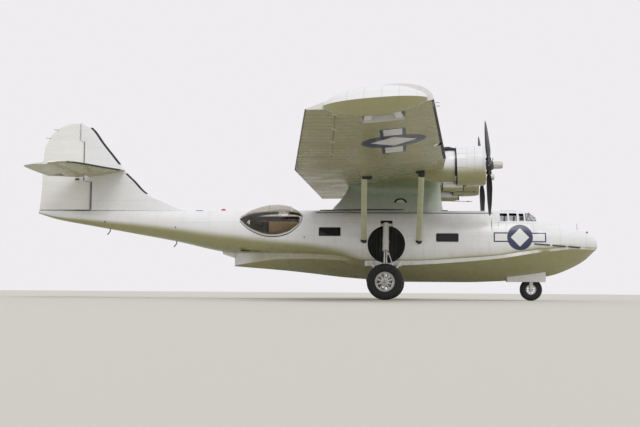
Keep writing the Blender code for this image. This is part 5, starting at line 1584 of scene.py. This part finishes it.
def make_blisters():
    for side, way in SIDES:
        for name, finish, outside, inside in (("rim", "hull", 0.042, 0.003), ("seal", "black", 0.070, 0.044)):
            edge = piece(f"cut_blister_{name}_{side}", loft(blister_rings(way, outside)), finish, body=None)
            hole = piece(f"cut_blister_{name}_hole_{side}", loft(blister_rings(way, inside)), finish, body=None)
            patch(f"blister_{name}_{side}", edge, finish, 0.006, 0.014, hole)
        shell = loft(blister_rings(way, 0.0))
        inner = piece(f"cut_blister_inner_{side}", loft(blister_rings(way, -0.012)), "clear", body=None)
        hull = piece(f"cut_blister_hull_{side}", room(9.9, 12.35, 1.2, -0.004), "clear", body=None)
        glass = piece(f"blister_glass_{side}", shell, "blister", body=None)
        carve(glass, [inner, hull])
        settle(glass, "airframe", [f"blister_{side}"])
        hoops = new_mesh()
        for s in (10.46, 11.16):
            _, y, z, radius = smooth(BLISTER, s)
            turns = [math.radians(a) for a in range(-60, 105, 5)]
            tube(hoops, [at(s, way * (y + (radius + 0.001) * math.cos(t)), z + (radius + 0.001) * math.sin(t)) for t in turns], 0.005, sides=8)
        piece(f"blister_hoops_{side}", hoops, "frame")
        inside = new_mesh()
        box(inside, at(11.20, way * 0.93, 1.62), at(10.10, way * 0.98, 2.02), 0.02)
        piece(f"waist_lining_{side}", inside, "tan")
        gear = new_mesh()
        rod(gear, at(11.35, way * 0.80, 0.99), at(11.35, way * 0.80, 1.95), 0.035, sides=14)
        rod(gear, at(11.62, way * 0.82, 2.02), at(10.78, way * 0.90, 1.98), 0.040, sides=14)
        ball(gear, at(11.35, way * 0.82, 1.98), 0.09)
        piece(f"waist_fittings_{side}", gear, "frame")
    frames = new_mesh()
    for s in (8.3, 9.2, 9.85, 12.25):
        hoop(frames, s, 0.99, 0.055, 0.022)
    piece("waist_frames", frames, "frame")
    # A dark block between the blisters that stands for the shade inside the waist
    rack = box(new_mesh(), at(11.95, -0.22, 1.01), at(10.25, 0.22, 2.24), 0.03)
    piece("waist_shade_box", rack, "dark")
    roof = new_mesh()
    box(roof, at(10.0, -0.45, 2.360), at(8.1, 0.45, 2.380), 0.01)
    piece("waist_roof_lining", roof, "tan")
    deck = new_mesh()
    for number in range(9):
        s = 8.1 + number * 0.46
        half = smooth(UPPER, s + 0.44)[4] - 0.32
        box(deck, at(s + 0.44, -half, 0.99), at(s, half, 1.01), 0.004)
    piece("waist_deck", deck, "wood")


def make_cockpit():
    floor = 1.22 + 0.0003
    deck = floor + 0.0303
    boards = new_mesh()
    for number in range(6):
        box(boards, at(3.70 - number * 0.25, -0.95, floor), at(3.455 - number * 0.25, 0.95, floor + 0.03), 0.004)
    piece("cockpit_deck", boards, "black", stands_for=["cockpit_floor"], merge=0)
    for side, way in SIDES:
        y = way * 0.48
        seat = new_mesh()
        box(seat, at(3.35, y - 0.225, deck + 0.33), at(2.88, y + 0.225, deck + 0.44), 0.045)
        for number in range(3):
            inset = number * 0.145
            box(seat, at(3.40, y - 0.22, deck + 0.44 + inset), at(3.32, y + 0.22, deck + 0.58 + inset), 0.035)
        box(seat, at(3.40, y - 0.13, deck + 0.86), at(3.33, y + 0.13, deck + 0.975), 0.03)
        piece(f"pilot_seat_{side}", seat, "leather", stands_for=[f"seat_{side}"], merge=0)
        frame_of = new_mesh()
        for a in (2.95, 3.28):
            for b in (-0.19, 0.19):
                rod(frame_of, at(a, y + b, deck), at(a, y + b, deck + 0.34), 0.016, sides=10)
        tube(frame_of, [at(3.415, y + b, deck + z) for b, z in ((-0.2, 0.34), (-0.2, 0.92), (0.2, 0.92), (0.2, 0.34))], 0.014, sides=8)
        piece(f"seat_frame_{side}", frame_of, "steel")
        yoke = new_mesh()
        ring = [at(2.66, y + 0.15 * math.sin(t), deck + 0.60 + 0.13 * math.cos(t)) for t in
                [2 * math.pi * k / 28 for k in range(29)]]
        tube(yoke, ring, 0.013, sides=8)
        tube(yoke, [at(2.66, y - 0.14, deck + 0.60), at(2.66, y + 0.14, deck + 0.60)], 0.011, sides=8)
        tube(yoke, [at(2.66, y, deck + 0.60), at(2.55, y, deck + 0.62), at(2.52, y, deck + 0.30), at(2.52, y, deck)], 0.022, sides=10)
        piece(f"control_wheel_{side}", yoke, "black")
    panel = box(new_mesh(), at(2.455, -0.85, deck + 0.36), at(2.405, 0.85, deck + 0.855), 0.012)
    box(panel, at(2.45, -0.10, deck), at(2.41, 0.10, deck + 0.40), 0.01)
    box(panel, at(2.50, -0.90, deck + 0.84), at(2.36, 0.90, deck + 0.87), 0.01)
    piece("dashboard", panel, "black", stands_for=["instrument_panel"], merge=0)
    dials = new_mesh()
    rings = new_mesh()
    for row, height in enumerate((0.46, 0.60, 0.74)):
        for column in range(11):
            y = (column - 5) * 0.148 + (0.02 if row % 2 else 0)
            rod(dials, at(2.455, y, deck + height), at(2.462, y, deck + height), 0.050, sides=24)
            rod(rings, at(2.455, y, deck + height), at(2.459, y, deck + height), 0.057, sides=24)
    piece("dial_faces", dials, "dial")
    piece("dial_bezels", rings, "steel")
    lining = new_mesh()
    for s in (1.75, 2.50, 3.44, 3.66):
        hoop(lining, s, floor + 0.05, 0.05, 0.018)
    piece("cockpit_frames", lining, "green")


def make_hatch():
    skin = piece("hatch_skin", room(2.70, 3.30, 1.4, -0.0005, 0.05), "hull", body=None)
    inner = piece("cut_hatch_inner", room(2.60, 3.40, 1.3, 0.028, 0.05), "green", body=None)
    outline = slab("cut_hatch_outline", at(3.0, 0, 2.5), (0.50, 0.56, 0.5), 0.05, "frame", "z")
    carve(skin, [outline], "INTERSECT")
    carve(skin, [inner])
    settle(skin, "roof_hatch", ["roof_hatch"])
    # Black pane in the hatch: painted shade of the cockpit below
    glass = piece("hatch_glass", room(2.80, 3.20, 1.4, -0.004, 0.05), "smoke", body=None)
    cut = slab("cut_hatch_pane", at(3.0, 0, 2.5), (0.36, 0.42, 0.5), 0.05, "smoke", "z")
    below = piece("cut_hatch_below", box(new_mesh(), at(3.3, -0.5, 1.9), at(2.7, 0.5, 2.455)), "smoke", body=None)
    carve(glass, [cut], "INTERSECT")
    carve(glass, [below])
    settle(glass, "roof_hatch")
    trim = new_mesh()
    for way in (1, -1):
        rod(trim, at(3.258, way * 0.10, 2.474), at(3.258, way * 0.20, 2.474), 0.010, sides=12)
    tube(trim, [at(2.79, -0.06, 2.462), at(2.79, -0.05, 2.49), at(2.79, 0.05, 2.49), at(2.79, 0.06, 2.462)], 0.006, sides=8)
    piece("hatch_fittings", trim, "steel", "roof_hatch")


def smooth_deck(s, y):
    """The height of the hull's upper side at a station, a distance from the middle."""
    _, _, _, wide_z, wide_y, deck = smooth(UPPER, s)
    return wide_z + (deck - wide_z) * (1 - (y / wide_y) ** 2.4) ** (1 / 2.4)


def make_trim():
    """Masts, lamps, strakes and other small things on the outside."""
    dark = new_mesh()
    for low, high in ((0.66, 1.06), (1.18, 1.62), (1.72, 2.24)):
        for way in (1, -1):
            points = [at(s, way * (smooth(UPPER, s)[4] + 0.012), 1.18 + 0.067 * (s - 0.64)) for s in spread(low, high, 0.06)]
            tube(dark, points, 0.022, sides=8)
    rod(dark, at(0.34, 0.0, 1.66), at(0.34, 0.0, 1.76), 0.03, sides=14)
    tube(dark, [at(0.66, 0.10, 1.78), at(0.665, 0.10, 1.88), at(0.67, 0.10, 2.04)], 0.006, sides=8)
    rod(dark, at(0.66, 0.10, 1.76), at(0.66, 0.10, 1.86), 0.018, sides=10)
    for s in (2.22, 2.30):
        for way in (1, -1):
            tube(dark, [at(2.10, way * 0.30, 2.19), at(s, way * 0.24, 2.31)], 0.005, sides=6)
    box(dark, at(13.86, -0.13, 2.425), at(13.62, 0.13, 2.445), 0.006)
    for s, y, z in ((14.46, 0.72, 1.82), (17.02, 0.34, 2.02), (9.95, 1.46, 1.47)):
        for way in (1, -1):
            width = smooth(UPPER, s)[4]
            rod(dark, at(s, way * (width - 0.01), z), at(s, way * (width + 0.012), z), 0.022, sides=12)
    for way in (1, -1):
        line = [at(s, way * 0.80, smooth_deck(s, 0.80) + 0.006) for s in spread(3.6, 9.6, 0.25)]
        tube(dark, line, 0.014, sides=6)
    for s, z, deep in ((16.90, 1.80, 0.22), (14.54, 1.36, 0.20)):
        tube(dark, [at(s, 0.0, z + 0.05), at(s, 0.0, z - deep * 0.4), at(s + 0.10, 0.0, z - deep)], 0.018, sides=8)
    piece("hull_dark_trim", dark, "black")
    wedge = loft([[at(12.47, y, 1.02), at(12.95, y, 1.08), at(12.88, y, 0.92), at(12.47, y, 0.78)] for y in (-0.07, 0.07)])
    piece("afterbody_heel", wedge, "hull")
    beacon = ball(new_mesh(), at(12.9, 0, 2.455), 0.075, (1.1, 1.0, 0.75))
    piece("deck_beacon", beacon, "red")
    base = rod(new_mesh(), at(12.9, 0, 2.42), at(12.9, 0, 2.445), 0.10, sides=24)
    for way in (1, -1):
        rod(base, at(5.3, way * 0.5, 2.43), at(5.3, way * 0.5, 2.52), 0.02, sides=10)
    piece("beacon_base", base, "hull")
    for side, way in SIDES:
        lamp = new_mesh()
        centre = wing_point(way * 8.95, 0.030, lower(0.030) - 0.001)
        down = Vector((0.55, 0, -0.83)).normalized()
        rod(lamp, centre + down * 0.008, centre - down * 0.05, 0.145, sides=40)
        piece(f"landing_lamp_rim_{side}", lamp, "chrome")
        lens = ball(new_mesh(), centre + down * 0.004, 0.118, (1, 1, 0.30))
        piece(f"landing_lamp_{side}", lens, "smoke")
        tips = new_mesh()
        front = wing_point(way * 14.9, 0.02, -0.01)
        tube(tips, [front, front + Vector((0.20, 0, -0.01))], 0.012, sides=8)
        tube(tips, [front + Vector((0.04, 0, 0)), front + Vector((0.04, 0, -0.10)), front + Vector((0.20, 0, -0.10))], 0.009, sides=8)
        piece(f"wing_probes_{side}", tips, "steel")
        hinges = new_mesh()
        for y in (9.1, 10.9, 12.7, 14.5):
            point = wing_point(way * y, AILERON_HINGE - 0.012, lower(AILERON_HINGE) - 0.004)
            box(hinges, point - Vector((0.07, 0.010, 0.012)), point + Vector((0.07, 0.010, 0.012)), 0.003)
        piece(f"aileron_brackets_{side}", hinges, "wing")


def paint_nodes():
    """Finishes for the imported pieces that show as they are."""
    for name, finish in (("canopy_glass", "clear"),):
        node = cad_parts[name]
        node.data.materials.clear()
        node.data.materials.append(M[finish])


# Stage
def camera_and_light():
    """The floor, the soft light, and the camera low on the starboard side."""
    scene = bpy.context.scene
    scene.view_settings.view_transform = "Standard"
    camera = bpy.data.objects.new("camera", bpy.data.cameras.new("camera"))
    scene.collection.objects.link(camera)
    camera.data.lens = 76.75
    camera.data.clip_end = 2000.0
    camera.location = (3.467, -47.28, 0.25)
    pan, tilt, roll = -0.0688, 0.0574, -0.0073
    look = Vector((math.sin(pan) * math.cos(tilt), math.cos(pan) * math.cos(tilt), math.sin(tilt)))
    camera.rotation_mode = "QUATERNION"
    camera.rotation_quaternion = look.to_track_quat("-Z", "Y") @ Matrix.Rotation(-roll, 3, "Z").to_quaternion()
    scene.camera = camera

    mesh = bmesh.new()
    bmesh.ops.create_grid(mesh, x_segments=1, y_segments=1, size=600.0)
    data = bpy.data.meshes.new("floor")
    mesh.to_mesh(data)
    mesh.free()
    floor = bpy.data.objects.new("floor", data)
    scene.collection.objects.link(floor)
    data.materials.append(Finish("floor_paint", (0.56, 0.55, 0.49), 0.9).material)

    world = bpy.data.worlds.new("studio")
    scene.world = world
    world.use_nodes = True
    sky = world.node_tree.nodes["Background"]
    sky.inputs["Color"].default_value = (0.86, 0.845, 0.87, 1.0)
    sky.inputs["Strength"].default_value = 1.0
    lamp = bpy.data.objects.new("softbox", bpy.data.lights.new("softbox", "SUN"))
    lamp.data.energy = 0.9
    lamp.data.angle = math.radians(30)
    lamp.rotation_mode = "QUATERNION"
    lamp.rotation_quaternion = Vector((-0.25, 0.55, -0.8)).to_track_quat("-Z", "Y")
    scene.collection.objects.link(lamp)


camera_and_light()
make_hull()
make_wing()
make_pylon()
make_struts()
make_engines()
make_tail()
make_floats()
make_main_gear()
make_nose_gear()
make_windows()
make_blisters()
make_cockpit()
make_hatch()
make_trim()
paint_nodes()
